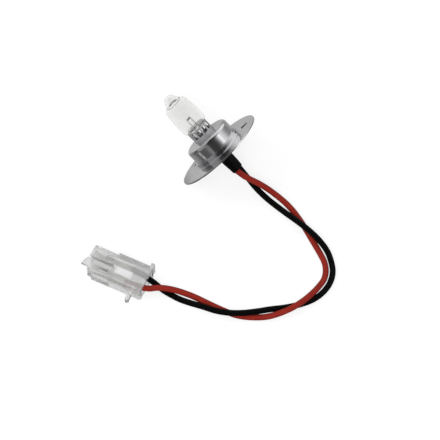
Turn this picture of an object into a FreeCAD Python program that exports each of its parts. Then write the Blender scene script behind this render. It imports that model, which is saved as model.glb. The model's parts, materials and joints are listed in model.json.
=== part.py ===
"""Halogen lamp of an analyzer: a quartz capsule in a flanged metal cup, on a two-wire lead with a plug.

Millimetres, +Z up. The lamp lies on the edge of its flange with the bulb leaning up towards +X, as it
comes to rest on a bench, and its lead lies in a loop beside it. Each lamp piece is drawn about its own
Z axis, with z = 0 on the bulb side of the flange, and is tipped over as a whole by its Placement.
"""
import FreeCAD, Part
import math
import os
import Sketcher
from FreeCAD import Vector

SIZES = (
    # How the lamp lies
    ("lamp_tilt", 32.7, "degrees that the bulb end rises above level"),
    # Flange, pressed from sheet with a neck turned up round the cup
    ("flange_radius", 20.0, "outer radius of the flange"),
    ("flange_sheet", 0.7, "sheet thickness of flange and neck"),
    ("neck_height", 2.1, "height of the neck above the flange"),
    ("neck_fillet", 0.5, "radius at the root of the neck"),
    ("neck_edge", 0.25, "bevel on the neck's rim"),
    ("slot_width", 2.8, "width of a locating slot"),
    ("slot_inner", 11.8, "inner end of a slot from the axis"),
    ("slot_outer", 16.4, "outer end of a slot from the axis"),
    ("first_slot_turn", 237.3, "degrees from local X to the first slot"),
    ("slot_spread", 145.0, "degrees between the two slots"),
    # Cup, a drawn shell with its closed end towards the bulb
    ("cup_radius", 10.5, "outer radius of the cup"),
    ("cup_wall", 0.6, "wall of the cup"),
    ("cup_height", 8.35, "top of the cup above the flange"),
    ("cup_cone", 0.35, "fall of the cup's top from the collar to the edge"),
    ("cup_corner", 1.5, "outer corner radius of the cup"),
    ("press_gap", 0.05, "clearance between pressed shells"),
    # Collar, a drawn tube with windows that holds the capsule
    ("collar_radius", 4.9, "outer radius of the collar"),
    ("collar_wall", 0.4, "wall of the collar"),
    ("collar_top", 13.4, "top of the collar above the flange"),
    ("collar_lip", 1.5, "width of the lip under the cup's top"),
    ("window_width", 2.0, "width of a collar window"),
    ("window_height", 2.9, "height of a collar window"),
    ("window_base", 9.9, "lower edge of the windows above the flange"),
    ("window_count", 11.0, "number of collar windows"),
    ("window_turn", 174.8, "degrees from local X to the first window"),
    # Quartz capsule
    ("bulb_radius", 5.85, "outer radius of the barrel up to its waist"),
    ("bulb_waist", 19.5, "height above the flange where the barrel starts to narrow"),
    ("bulb_top", 5.3, "outer radius of the barrel at its shoulder"),
    ("bulb_wall", 0.8, "wall of the capsule"),
    ("bulb_floor", 12.7, "lowest point of the barrel above the flange"),
    ("bulb_shoulder", 27.8, "end of the barrel above the flange"),
    ("bulb_tip", 31.5, "end of the exhaust tip above the flange"),
    ("bulb_lower_round", 3.6, "outer radius of the barrel's lower round"),
    ("bulb_upper_round", 2.2, "outer radius of the barrel's shoulder"),
    ("tip_base", 3.05, "radius of the exhaust tip at its root"),
    ("tip_radius", 2.35, "radius of the exhaust tip below its dome"),
    ("dome_share", 0.96, "height of the tip's dome over its radius"),
    ("tip_neck", 1.2, "height of the tip's conical root"),
    ("pinch_width", 7.0, "width of the pinch seal"),
    ("pinch_depth", 2.6, "thickness of the pinch seal"),
    ("pinch_base", 3.6, "lower end of the pinch above the flange"),
    # Metal in the capsule
    ("post_offset", 1.0, "distance of a filament post from the axis"),
    ("post_radius", 0.22, "radius of a filament post"),
    ("post_over", 0.6, "height of the posts above the filament's axis"),
    ("coil_height", 18.3, "height of the filament above the flange"),
    ("coil_radius", 0.34, "mean radius of the filament coil"),
    ("coil_wire", 0.07, "radius of the filament wire"),
    ("coil_turns", 6.0, "turns of the filament coil"),
    ("foil_width", 1.5, "width of a sealing foil"),
    ("foil_sheet", 0.06, "thickness of a sealing foil"),
    ("foil_base", 5.6, "lower end of the foils above the flange"),
    ("foil_top", 10.4, "upper end of the foils above the flange"),
    ("pin_offset", 1.4, "distance of a base pin from the axis"),
    ("pin_radius", 0.35, "radius of a base pin"),
    ("pin_end", 3.6, "length of a base pin behind the flange's back"),
    # Cement and the bush that closes the cup
    ("cement_top", 6.0, "top of the cement above the flange"),
    ("bush_depth", 1.4, "thickness of the rear bush"),
    # Splices, their sleeves and the shrunk sleeve over them
    ("splice_radius", 0.65, "outer radius of a crimped splice"),
    ("splice_start", 2.1, "start of the splices behind the flange's back"),
    ("splice_length", 3.4, "length of a splice"),
    ("liner_radius", 1.05, "outer radius of a splice liner"),
    ("liner_length", 6.4, "length of a splice liner"),
    ("shrink_length", 11.0, "length of the shrunk sleeve"),
    ("shrink_wall", 0.3, "wall of the shrunk sleeve"),
    ("shrink_root_half", 3.05, "half width of the sleeve at the flange"),
    ("shrink_root_rise", 2.85, "half thickness of the sleeve at the flange"),
    ("shrink_end_half", 2.95, "half width of the sleeve at its end"),
    ("shrink_end_rise", 2.22, "half thickness of the sleeve at its end"),
    # Lead
    ("wire_radius", 1.27, "outer radius of each wire"),
    ("sleeve_press", 0.9, "the sleeve's rise at mid-length over its rise at the flange"),
    ("early_twist", 0.2, "share of the sleeve's twist reached at mid-length"),
    ("sleeve_twist", 24.0, "degrees that the pair of wires is turned at the sleeve's end"),
    ("exit_twist", 38.0, "degrees that the pair is turned where it leaves the sleeve behind"),
    ("sleeve_lead", 2.5, "straight wire behind the sleeve's end"),
    ("wire_offset", 1.4, "distance of each wire from the sleeve's axis"),
    ("conductor_radius", 0.35, "radius of the stranded copper"),
    ("seat_gap", 0.2, "bare copper between a wire's insulation and its crimp"),
    # Plug
    ("plug_x", -16.5, "centre of the plug's rear face along X"),
    ("plug_y", 63.7, "centre of the plug's rear face along Y"),
    ("plug_turn", 9.0, "degrees from X to the plug's axis"),
    ("pitch", 6.35, "spacing of the two circuits"),
    ("block_length", 15.4, "length of the rear block"),
    ("block_width", 12.7, "width of the rear block"),
    ("block_height", 8.3, "height of the rear block"),
    ("circuit_height", 4.0, "height of the two circuits above the bench"),
    ("silo_length", 11.2, "length of the longer silo past the block"),
    ("silo_width", 5.2, "width of a silo"),
    ("silo_height", 6.2, "height of a silo"),
    ("silo_step", 1.7, "how much shorter the keyed silo is"),
    ("tongue_reach", 3.3, "reach of the tongue past the keyed silo"),
    ("tongue_slant", 1.3, "how much shorter the tongue is on its inner side"),
    ("tongue_width", 3.8, "width of the tongue"),
    ("tongue_sheet", 1.5, "thickness of the tongue"),
    ("block_round", 0.5, "radius on the block's long edges"),
    ("silo_round", 0.35, "radius on the silos' ends"),
    ("root_sink", 1.0, "depth to which silos and rail run into the block"),
    ("side_sink", 0.5, "depth to which rail and ears run into a side"),
    ("silo_bore", 1.9, "radius of a silo's open end"),
    ("silo_bore_depth", 4.0, "depth of a silo's wide open end"),
    ("cavity_radius", 1.5, "radius of a terminal cavity"),
    ("mouth_depth", 6.6, "depth of the wire mouth"),
    ("mouth_height", 4.6, "height of the wire mouth"),
    ("mouth_room", 0.2, "room beside each wire in the mouth"),
    ("mouth_lift", 0.3, "height of the mouth's middle above the circuits"),
    ("mouth_lane", 2.1, "distance of each wire from the plug's axis behind the mouth"),
    ("mouth_lead", 1.6, "straight wire behind the mouth"),
    ("rail_width", 0.9, "width of the side rail"),
    ("rail_height", 3.2, "height of the side rail"),
    ("rail_setback", 2.3, "distance of the rail's end from the silo's"),
    ("latch_width", 1.5, "width of a lock window"),
    ("latch_length", 3.5, "length of a lock window"),
    ("latch_gap", 1.2, "distance of a lock window from the block"),
    ("ear_place", 4.6, "distance of the near ear from the rear face"),
    ("far_ear_place", 1.0, "distance of the far ear from the rear face"),
    ("far_ear_reach", 2.2, "reach of the far ear past the block"),
    ("far_ear_rise", 6.4, "height of the far ear"),
    ("ear_base", 0.8, "height of the ears' underside"),
    ("ear_reach", 3.9, "reach of the near ear past the block"),
    ("ear_sheet", 1.2, "thickness of an ear"),
    ("ear_rise", 2.8, "height of the near ear"),
    ("ear_bead", 0.85, "radius of the bead on an ear's end"),
    # Terminals
    ("contact_radius", 1.05, "radius of a contact barrel"),
    ("contact_end", 2.2, "distance of a contact's nose from the silo's end"),
    ("crimp_radius", 1.2, "radius of a crimp barrel"),
    ("crimp_start", 8.6, "start of the crimp from the rear face"),
    ("crimp_length", 3.6, "length of the crimp barrel"),
    ("barrel_taper", 0.6, "length of the taper from crimp to barrel"),
    ("nose_taper", 1.2, "length of the taper to the contact's nose"),
    ("lance_gap", 1.6, "distance of the locking collar from the crimp"),
    ("lance_radius", 1.4, "radius of the locking collar"),
    ("lance_length", 1.2, "length of the locking collar"),
)

# Where each wire lies between the sleeve and the plug, chosen along the loop
RED_ROUTE = (
    (-23.6, 0.1, 8.6),
    (-28.6, -2.0, 5.6),
    (-35.0, -3.0, 2.6),
    (-42.5, -2.3, 1.27),
    (-50.5, 0.8, 1.27),
    (-57.6, 4.6, 1.27),
    (-64.5, 8.2, 1.27),
    (-70.8, 11.8, 1.27),
    (-74.4, 17.2, 1.27),
    (-74.9, 23.4, 2.4),
    (-74.6, 30.2, 3.95),
    (-72.6, 37.1, 3.95),
    (-69.6, 42.2, 3.2),
    (-65.4, 46.4, 1.27),
    (-60.4, 50.2, 1.27),
    (-55.2, 53.0, 1.27),
    (-50.0, 54.2, 1.27),
    (-43.0, 55.2, 1.27),
    (-35.8, 55.9, 1.27),
    (-30.4, 57.6, 2.4),
    (-25.8, 59.9, 4.0),
    (-21.2, 62.7, 4.55),
)
BLACK_ROUTE = (
    (-22.1, -1.2, 5.9),
    (-26.9, -0.3, 3.4),
    (-33.3, 0.4, 1.6),
    (-39.9, 1.0, 1.27),
    (-45.3, 1.8, 2.0),
    (-50.0, 3.0, 3.95),
    (-56.2, 3.7, 3.95),
    (-62.3, 4.9, 3.7),
    (-67.9, 6.5, 2.1),
    (-72.0, 9.5, 1.27),
    (-75.5, 13.2, 1.27),
    (-77.5, 18.3, 1.27),
    (-77.6, 23.8, 1.27),
    (-76.0, 29.2, 1.27),
    (-72.7, 34.2, 1.27),
    (-68.3, 39.0, 1.27),
    (-64.5, 43.0, 2.1),
    (-61.2, 47.7, 3.7),
    (-57.0, 51.8, 3.95),
    (-52.2, 55.2, 3.95),
    (-46.8, 57.7, 3.95),
    (-41.7, 58.4, 3.0),
    (-36.5, 59.1, 1.27),
    (-31.4, 60.5, 1.27),
    (-26.6, 60.9, 1.27),
    (-22.3, 61.0, 1.27),
)

doc = FreeCAD.newDocument("AnalyzerLamp")
sheet = doc.addObject("Spreadsheet::Sheet", "Sizes")


def fill_sheet():
    """Write every driving size into the sheet, one row each."""
    for row, (alias, value, note) in enumerate(SIZES, start=1):
        sheet.set(f"A{row}", alias)
        sheet.set(f"B{row}", str(value))
        sheet.set(f"C{row}", note)
        sheet.setAlias(f"B{row}", alias)
    doc.recompute()


def size(alias):
    """The value of a named size."""
    return float(sheet.get(alias))


def expand(formula):
    """Turn {name} into the sheet's cell of that name."""
    return formula.replace("{", "Sizes.").replace("}", "")


def bind(target, prop, formula):
    """Bind a property of an object to a formula of named sizes."""
    target.setExpression(prop, expand(formula))


# Heights and radii that several pieces share, as formulas of the sheet's cells
BACK = "-{flange_sheet}"
NECK_BORE = "({cup_radius} + {press_gap})"
CUP_BORE = "({cup_radius} - {cup_wall})"
CUP_EDGE_TOP = "({cup_height} - {cup_cone})"
COLLAR_BORE = "({collar_radius} - {collar_wall})"
CUP_HOLE = "({collar_radius} + {press_gap})"
CUP_CEILING = "({cup_height} - {cup_cone} - {cup_wall})"
BULB_BORE = "({bulb_radius} - {bulb_wall})"
BUSH_TOP = "({bush_depth} - {flange_sheet})"
SILO_END = "({block_length} + {silo_length})"
KEYED_END = "({block_length} + {silo_length} - {silo_step})"
DOME = "({tip_radius} * {dome_share})"
COSINE = "cos({lamp_tilt} * 1 deg)"
SINE = "sin({lamp_tilt} * 1 deg)"
LAMP_X = (f"(({{flange_radius}} * {SINE} + {{flange_sheet}} * {COSINE}"
          f" - ({{bulb_tip}} - {{tip_radius}}) * {COSINE} - {{tip_radius}}) / 2)")
LAMP_Z = f"({{flange_radius}} * {COSINE} + {{flange_sheet}} * {SINE})"


def place_in_lamp(target):
    """Tip a lamp piece over onto the edge of the flange."""
    target.Placement.Rotation = FreeCAD.Rotation(Vector(0, 1, 0), 1)
    bind(target, "Placement.Rotation.Angle", "90 deg - {lamp_tilt} * 1 deg")
    bind(target, "Placement.Base.x", LAMP_X + " * 1 mm")
    bind(target, "Placement.Base.z", LAMP_Z + " * 1 mm")


def place_in_plug(target):
    """Lay a plug piece on the bench beside the lamp."""
    target.Placement.Rotation = FreeCAD.Rotation(Vector(0, 0, 1), 1)
    bind(target, "Placement.Rotation.Angle", "{plug_turn} * 1 deg")
    bind(target, "Placement.Base.x", "{plug_x} * 1 mm")
    bind(target, "Placement.Base.y", "{plug_y} * 1 mm")


def new_body(name, label, place):
    """Start a body with its own label and placement."""
    body = doc.addObject("PartDesign::Body", name)
    body.Label = label
    if place:
        place(body)
    return body


def origin_plane(body, role):
    """One of the body's own origin planes."""
    return next(item for item in body.Origin.OriginFeatures if item.Role == role)


def new_sketch(body, name, role, offset=None):
    """Attach a sketch to an origin plane of its body, raised by a formula."""
    sketch = body.newObject("Sketcher::SketchObject", name)
    sketch.AttachmentSupport = [(origin_plane(body, role), "")]
    sketch.MapMode = "FlatFace"
    if offset:
        bind(sketch, "AttachmentOffset.Base.z", f"({offset}) * 1 mm")
    return sketch


def draw_outline(sketch, corners):
    """Close a run of straight edges through corners given as pairs of formulas."""
    first = sketch.GeometryCount
    count = len(corners)
    for step in range(count):
        spread = Vector(step, step * step, 0)
        sketch.addGeometry(Part.LineSegment(spread, Vector(step + 1, (step + 1) ** 2, 0)))
    for step in range(count):
        following = first + (step + 1) % count
        sketch.addConstraint(Sketcher.Constraint("Coincident", first + step, 2, following, 1))
    for step, corner in enumerate(corners):
        for kind, formula in zip(("DistanceX", "DistanceY"), corner):
            index = sketch.addConstraint(Sketcher.Constraint(kind, -1, 1, first + step, 1, 1.0))
            bind(sketch, f"Constraints[{index}]", formula)


def draw_circle(sketch, across, up, radius):
    """Draw a circle at a pair of formulas with a formula for its radius."""
    circle = sketch.addGeometry(Part.Circle(Vector(1, 1, 0), Vector(0, 0, 1), 1))
    for kind, formula in (("DistanceX", across), ("DistanceY", up)):
        index = sketch.addConstraint(Sketcher.Constraint(kind, -1, 1, circle, 3, 1.0))
        bind(sketch, f"Constraints[{index}]", formula)
    index = sketch.addConstraint(Sketcher.Constraint("Radius", circle, 1.0))
    bind(sketch, f"Constraints[{index}]", radius)


def revolve(body, name, corners, feature="PartDesign::Revolution"):
    """Turn an outline of (radius, height) corners about the body's Z axis."""
    sketch = new_sketch(body, name + "Outline", "XZ_Plane")
    draw_outline(sketch, corners)
    turned = body.newObject(feature, name)
    turned.Profile = sketch
    turned.ReferenceAxis = (sketch, ["V_Axis"])
    turned.Angle = 360
    doc.recompute()
    return turned


def extrude(body, name, sketch, length, feature="PartDesign::Pad", symmetric=False, reverse=False):
    """Pad or pocket a sketch by a formula."""
    result = body.newObject(feature, name)
    result.Profile = sketch
    result.SideType = "Symmetric" if symmetric else "One side"
    result.Reversed = reverse
    bind(result, "Length", f"({length}) * 1 mm")
    doc.recompute()
    return result


def add_box(body, name, across, along, base, height, feature="PartDesign::Pad"):
    """Pad or pocket a box between two pairs of formulas, from a base height upwards."""
    sketch = new_sketch(body, name + "Outline", "XY_Plane", base)
    (x_low, x_high), (y_low, y_high) = across, along
    corners = ((x_low, y_low), (x_high, y_low), (x_high, y_high), (x_low, y_high))
    draw_outline(sketch, corners)
    return extrude(body, name, sketch, height, feature, reverse=feature == "PartDesign::Pocket")


def ring_edges(feature, radius, height):
    """Names of the circular edges about the Z axis with a given radius and height."""
    names = []
    for number, edge in enumerate(feature.Shape.Edges, start=1):
        curve = edge.Curve
        if not isinstance(curve, Part.Circle) or abs(curve.Radius - radius) > 0.01:
            continue
        centre = curve.Center
        if abs(centre.z - height) < 0.01 and math.hypot(centre.x, centre.y) < 0.01:
            names.append(f"Edge{number}")
    return names


def fillet(body, name, feature, edges, radius):
    """Round named edges of a feature by a formula."""
    rounded = body.newObject("PartDesign::Fillet", name)
    rounded.Base = (feature, edges)
    bind(rounded, "Radius", f"({radius}) * 1 mm")
    doc.recompute()
    return rounded


def make_flange():
    """The pressed flange, with its turned-up neck and two locating slots."""
    body = new_body("Flange", "mounting_flange", place_in_lamp)
    neck_outer = f"({NECK_BORE} + {{flange_sheet}})"
    disc = revolve(body, "FlangeTurned", (
        (NECK_BORE, BACK), ("{flange_radius}", BACK), ("{flange_radius}", "0"),
        (neck_outer, "0"), (neck_outer, "{neck_height} - {neck_edge}"),
        (neck_outer + " - {neck_edge}", "{neck_height}"), (NECK_BORE, "{neck_height}")))
    outer = size("cup_radius") + size("press_gap") + size("flange_sheet")
    fillet(body, "NeckRoot", disc, ring_edges(disc, outer, 0.0), "{neck_fillet}")
    for number, turn in enumerate(("{first_slot_turn}", "{first_slot_turn} + {slot_spread}"), start=1):
        sketch = new_sketch(body, f"SlotOutline{number}", "XY_Plane", BACK)
        bind(sketch, "AttachmentOffset.Rotation.Angle", f"({turn}) * 1 deg")
        inner = "({slot_inner} + {slot_width} / 2)"
        outer_end = "({slot_outer} - {slot_width} / 2)"
        half = "({slot_width} / 2)"
        draw_slot(sketch, inner, outer_end, half)
        extrude(body, f"Slot{number}", sketch, "{flange_sheet}", "PartDesign::Pocket", reverse=True)
    return body


def draw_slot(sketch, near, far, half):
    """Draw a round-ended slot along the sketch's X axis."""
    upper = sketch.addGeometry(Part.LineSegment(Vector(13, 1, 0), Vector(15, 1, 0)))
    lower = sketch.addGeometry(Part.LineSegment(Vector(13, -1, 0), Vector(15, -1, 0)))
    up = Vector(0, 0, 1)
    quarter = math.pi / 2
    inner = sketch.addGeometry(Part.ArcOfCircle(Part.Circle(Vector(13, 0, 0), up, 1), quarter, 3 * quarter))
    outer = sketch.addGeometry(Part.ArcOfCircle(Part.Circle(Vector(15, 0, 0), up, 1), -quarter, quarter))
    sketch.addConstraint(Sketcher.Constraint("Tangent", upper, 1, inner, 1))
    sketch.addConstraint(Sketcher.Constraint("Tangent", upper, 2, outer, 2))
    sketch.addConstraint(Sketcher.Constraint("Tangent", lower, 1, inner, 2))
    sketch.addConstraint(Sketcher.Constraint("Tangent", lower, 2, outer, 1))
    sketch.addConstraint(Sketcher.Constraint("PointOnObject", inner, 3, -1))
    sketch.addConstraint(Sketcher.Constraint("PointOnObject", outer, 3, -1))
    for arc, formula in ((inner, near), (outer, far)):
        index = sketch.addConstraint(Sketcher.Constraint("DistanceX", -1, 1, arc, 3, 14.0))
        bind(sketch, f"Constraints[{index}]", formula)
    sketch.addConstraint(Sketcher.Constraint("Equal", inner, outer))
    index = sketch.addConstraint(Sketcher.Constraint("Radius", inner, 1.0))
    bind(sketch, f"Constraints[{index}]", half)


def make_cup():
    """The drawn cup, open behind, with a hole in its closed end for the collar."""
    body = new_body("Cup", "lamp_cup", place_in_lamp)
    shell = revolve(body, "CupTurned", (
        (CUP_BORE, BACK), ("{cup_radius}", BACK), ("{cup_radius}", CUP_EDGE_TOP),
        (CUP_HOLE, "{cup_height}"), (CUP_HOLE, CUP_CEILING), (CUP_BORE, CUP_CEILING)))
    edge_top = size("cup_height") - size("cup_cone")
    outer_edge = ring_edges(shell, size("cup_radius"), edge_top)
    rounded = fillet(body, "CupShoulder", shell, outer_edge, "{cup_corner}")
    bore = size("cup_radius") - size("cup_wall")
    inner_edge = ring_edges(rounded, bore, edge_top - size("cup_wall"))
    fillet(body, "CupInnerShoulder", rounded, inner_edge, "{cup_corner} - {cup_wall}")
    return body


def make_collar():
    """The windowed collar, held by a lip under the cup's top."""
    body = new_body("Collar", "windowed_collar", place_in_lamp)
    lip = "({collar_radius} + {collar_lip})"
    lip_base = f"({CUP_CEILING} - {{collar_wall}})"
    revolve(body, "CollarTurned", (
        (COLLAR_BORE, lip_base), (lip, lip_base), (lip, CUP_CEILING), ("{collar_radius}", CUP_CEILING),
        ("{collar_radius}", "{collar_top}"), (COLLAR_BORE, "{collar_top}")))
    sketch = new_sketch(body, "WindowOutline", "XY_Plane", "{window_base}")
    bind(sketch, "AttachmentOffset.Rotation.Angle", "{window_turn} * 1 deg")
    half = "{window_width} / 2"
    draw_outline(sketch, (
        ("{collar_radius} / 2", "-" + half), ("{collar_radius} * 1.5", "-" + half),
        ("{collar_radius} * 1.5", half), ("{collar_radius} / 2", half)))
    window = extrude(body, "Window", sketch, "{window_height}", "PartDesign::Pocket", reverse=True)
    ring = body.newObject("PartDesign::PolarPattern", "Windows")
    ring.Originals = [window]
    ring.Axis = (next(item for item in body.Origin.OriginFeatures if item.Role == "Z_Axis"), [""])
    ring.Angle = 360
    bind(ring, "Occurrences", "{window_count}")
    body.Tip = ring
    doc.recompute()
    return body


def make_capsule_blank():
    """The blown capsule with its pinch, before the metal is let into it."""
    body = new_body("CapsuleBlank", "capsule_blank", place_in_lamp)
    cone_top = "({bulb_shoulder} + {tip_neck})"
    blown = revolve(body, "BarrelTurned", (
        ("0", "{bulb_floor}"), ("{bulb_radius}", "{bulb_floor}"), ("{bulb_radius}", "{bulb_waist}"),
        ("{bulb_top}", "{bulb_shoulder}"),
        ("{tip_base}", "{bulb_shoulder}"), ("{tip_radius}", cone_top), ("{tip_radius}", "{bulb_tip}"),
        ("0", "{bulb_tip}")))
    radius = size("bulb_radius")
    floor = size("bulb_floor")
    shoulder = size("bulb_shoulder")
    blown = fillet(body, "LowerRound", blown, ring_edges(blown, radius, floor), "{bulb_lower_round}")
    blown = fillet(body, "UpperRound", blown, ring_edges(blown, size("bulb_top"), shoulder), "{bulb_upper_round}")
    tip_edge = ring_edges(blown, size("tip_radius"), size("bulb_tip"))
    fillet(body, "TipDome", blown, tip_edge, DOME)
    half_thick = "({pinch_depth} / 2)"
    half_wide = "({pinch_width} / 2)"
    sketch = new_sketch(body, "PinchOutline", "XY_Plane", "{pinch_base}")
    draw_outline(sketch, (
        ("-" + half_thick, "-" + half_wide), (half_thick, "-" + half_wide),
        (half_thick, half_wide), ("-" + half_thick, half_wide)))
    extrude(body, "Pinch", sketch, "{bulb_floor} + {bulb_wall} / 2 - {pinch_base}")
    return body


def make_hollow():
    """The gas space of the capsule, rounded as its wall is."""
    body = new_body("Hollow", "capsule_hollow", place_in_lamp)
    floor = "({bulb_floor} + {bulb_wall})"
    top = "({bulb_shoulder} - {bulb_wall})"
    narrow = "({bulb_top} - {bulb_wall})"
    space = revolve(body, "HollowTurned", (
        ("0", floor), (BULB_BORE, floor), (BULB_BORE, "{bulb_waist}"), (narrow, top), ("0", top)))
    wall = size("bulb_wall")
    radius = size("bulb_radius") - wall
    lower = ring_edges(space, radius, size("bulb_floor") + wall)
    space = fillet(body, "HollowLowerRound", space, lower, "{bulb_lower_round} - {bulb_wall}")
    upper = ring_edges(space, size("bulb_top") - wall, size("bulb_shoulder") - wall)
    fillet(body, "HollowUpperRound", space, upper, "{bulb_upper_round} - {bulb_wall}")
    return body


def make_rod(name, label, side, offset, radius, low, high):
    """A round rod along the lamp's axis, on one side of it."""
    rod = doc.addObject("Part::Cylinder", name)
    rod.Label = label
    bind(rod, "Radius", f"({radius}) * 1 mm")
    bind(rod, "Height", f"({high} - ({low})) * 1 mm")
    set_in_lamp(rod, "0", f"{side} * ({offset})", low)
    return rod


def set_in_lamp(target, x, y, z):
    """Place a primitive at a local point of the lamp, given as three formulas."""
    target.Placement.Rotation = FreeCAD.Rotation(Vector(0, 1, 0), 1)
    bind(target, "Placement.Rotation.Angle", "90 deg - {lamp_tilt} * 1 deg")
    bind(target, "Placement.Base.x", f"({LAMP_X} + ({x}) * {SINE} + ({z}) * {COSINE}) * 1 mm")
    bind(target, "Placement.Base.y", f"({y}) * 1 mm")
    bind(target, "Placement.Base.z", f"({LAMP_Z} - ({x}) * {COSINE} + ({z}) * {SINE}) * 1 mm")


def make_foil(name, label, side):
    """A thin sealing foil inside the pinch."""
    foil = doc.addObject("Part::Box", name)
    foil.Label = label
    bind(foil, "Length", "{foil_sheet} * 1 mm")
    bind(foil, "Width", "{foil_width} * 1 mm")
    bind(foil, "Height", "({foil_top} - {foil_base}) * 1 mm")
    set_in_lamp(foil, "-{foil_sheet} / 2", f"{side} * {{pin_offset}} - {{foil_width}} / 2", "{foil_base}")
    return foil


def lamp_placement():
    """The lamp's placement, for shapes that are built in place."""
    tilt = math.radians(size("lamp_tilt"))
    cosine = math.cos(tilt)
    sine = math.sin(tilt)
    tip = size("tip_radius")
    thick = size("flange_sheet")
    back = size("flange_radius") * sine + thick * cosine
    front = (size("bulb_tip") - tip) * cosine + tip
    base = Vector((back - front) / 2, 0, size("flange_radius") * cosine + thick * sine)
    return FreeCAD.Placement(base, FreeCAD.Rotation(Vector(0, 1, 0), 90 - size("lamp_tilt")))


def plug_placement():
    """The plug's placement, for shapes that are built in place."""
    turn = FreeCAD.Rotation(Vector(0, 0, 1), size("plug_turn"))
    return FreeCAD.Placement(Vector(size("plug_x"), size("plug_y"), 0), turn)


def make_filament():
    """The coiled filament, wound about an axis across the two posts."""
    span = 2 * (size("post_offset") - size("post_radius") - size("coil_wire"))
    helix = Part.makeHelix(span / size("coil_turns"), span, size("coil_radius"))
    start = helix.Vertexes[0].Point
    section = Part.Wire(Part.makeCircle(size("coil_wire"), start, Vector(0, 1, 0)))
    coil = Part.Wire(helix.Edges).makePipeShell([section], True, True)
    across = FreeCAD.Placement(Vector(0, span / 2, size("coil_height")), FreeCAD.Rotation(Vector(1, 0, 0), 90))
    coil.Placement = across
    filament = doc.addObject("Part::Feature", "Filament")
    filament.Label = "tungsten_filament"
    filament.Shape = coil
    filament.Placement = lamp_placement().multiply(across)
    return filament


def cut_by(name, label, base, tools):
    """Let the given pieces into a base piece, leaving room of exactly their shape."""
    if len(tools) > 1:
        tool = doc.addObject("Part::MultiFuse", name + "Inlay")
        tool.Shapes = tools
    else:
        tool = tools[0]
    result = doc.addObject("Part::Cut", name)
    result.Label = label
    result.Base = base
    result.Tool = tool
    doc.recompute()
    return result


def make_cement_blank():
    """The cement that fills the cup round the pinch."""
    body = new_body("CementBlank", "cement_blank", place_in_lamp)
    fill = f"({CUP_BORE} - {{press_gap}})"
    revolve(body, "CementTurned", (
        ("0", BUSH_TOP), (fill, BUSH_TOP), (fill, "{cement_top} - {cup_corner}"),
        (fill + " - {cup_corner}", "{cement_top}"), ("0", "{cement_top}")))
    return body


def make_bush():
    """The insulating bush that closes the back of the cup, with a hole for each pin."""
    body = new_body("Bush", "rear_bush", place_in_lamp)
    fill = f"({CUP_BORE} - {{press_gap}})"
    revolve(body, "BushTurned", (("0", BACK), (fill, BACK), (fill, BUSH_TOP), ("0", BUSH_TOP)))
    sketch = new_sketch(body, "PinHoles", "XY_Plane", BACK)
    draw_circle(sketch, "0", "{pin_offset}", "{pin_radius}")
    draw_circle(sketch, "0", "-{pin_offset}", "{pin_radius}")
    extrude(body, "PinBores", sketch, "{bush_depth}", "PartDesign::Pocket", reverse=True)
    return body


def make_tube(name, label, side, radius, bore, low, high):
    """A short round tube behind the flange, on one side of the axis."""
    outer = make_rod(name + "Outer", label + "_blank", side, "{pin_offset}", radius, low, high)
    inner = make_rod(name + "Bore", label + "_bore", side, "{pin_offset}", bore, low, high)
    return cut_by(name, label, outer, [inner])


def oval(half_wide, half_thick, height, twist):
    """An ellipse across the lamp's axis, its long side turned from local Y by a twist in degrees."""
    turn = FreeCAD.Rotation(Vector(0, 0, 1), twist)
    along = turn.multVec(Vector(0, half_wide, 0))
    across = turn.multVec(Vector(-half_thick, 0, 0))
    centre = Vector(0, 0, height)
    return Part.Wire(Part.Ellipse(centre + along, centre + across, centre).toShape())


def make_shrink_sleeve():
    """The shrunk sleeve, lofted from an oval at the flange to the pair of wires."""
    wall = size("shrink_wall")
    back = -size("flange_sheet")
    length = size("shrink_length")
    twist = size("sleeve_twist")
    stations = (
        (size("shrink_root_half"), size("shrink_root_rise"), back, 0),
        (size("shrink_root_half"), size("shrink_root_rise") * size("sleeve_press"), back - length / 2,
         twist * size("early_twist")),
        (size("shrink_end_half"), size("shrink_end_rise"), back - length, twist),
    )
    outer = Part.makeLoft([oval(*station) for station in stations], True)
    inner = Part.makeLoft([oval(wide - wall, thick - wall, height, turn)
                           for wide, thick, height, turn in stations], True)
    sleeve = doc.addObject("Part::Feature", "ShrinkSleeve")
    sleeve.Label = "heat_shrink_sleeve"
    sleeve.Shape = outer.cut(inner)
    sleeve.Placement = lamp_placement()
    return sleeve


def rounded_path(points):
    """Straight runs joined by tangent arcs, and the radius of each arc."""
    edges = []
    radii = []
    start = points[0]
    for before, corner, after in zip(points, points[1:], points[2:]):
        back = before - corner
        ahead = after - corner
        reach = 0.45 * min(back.Length, ahead.Length)
        turn = math.pi - back.getAngle(ahead)
        radius = reach / math.tan(turn / 2)
        back.normalize()
        ahead.normalize()
        inward = (back + ahead).normalize()
        middle = corner + inward * (math.hypot(reach, radius) - radius)
        first = corner + back * reach
        last = corner + ahead * reach
        edges.append(Part.LineSegment(start, first).toShape())
        edges.append(Part.Arc(first, middle, last).toShape())
        radii.append(radius)
        start = last
    edges.append(Part.LineSegment(start, points[-1]).toShape())
    return Part.Wire(edges), radii


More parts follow.
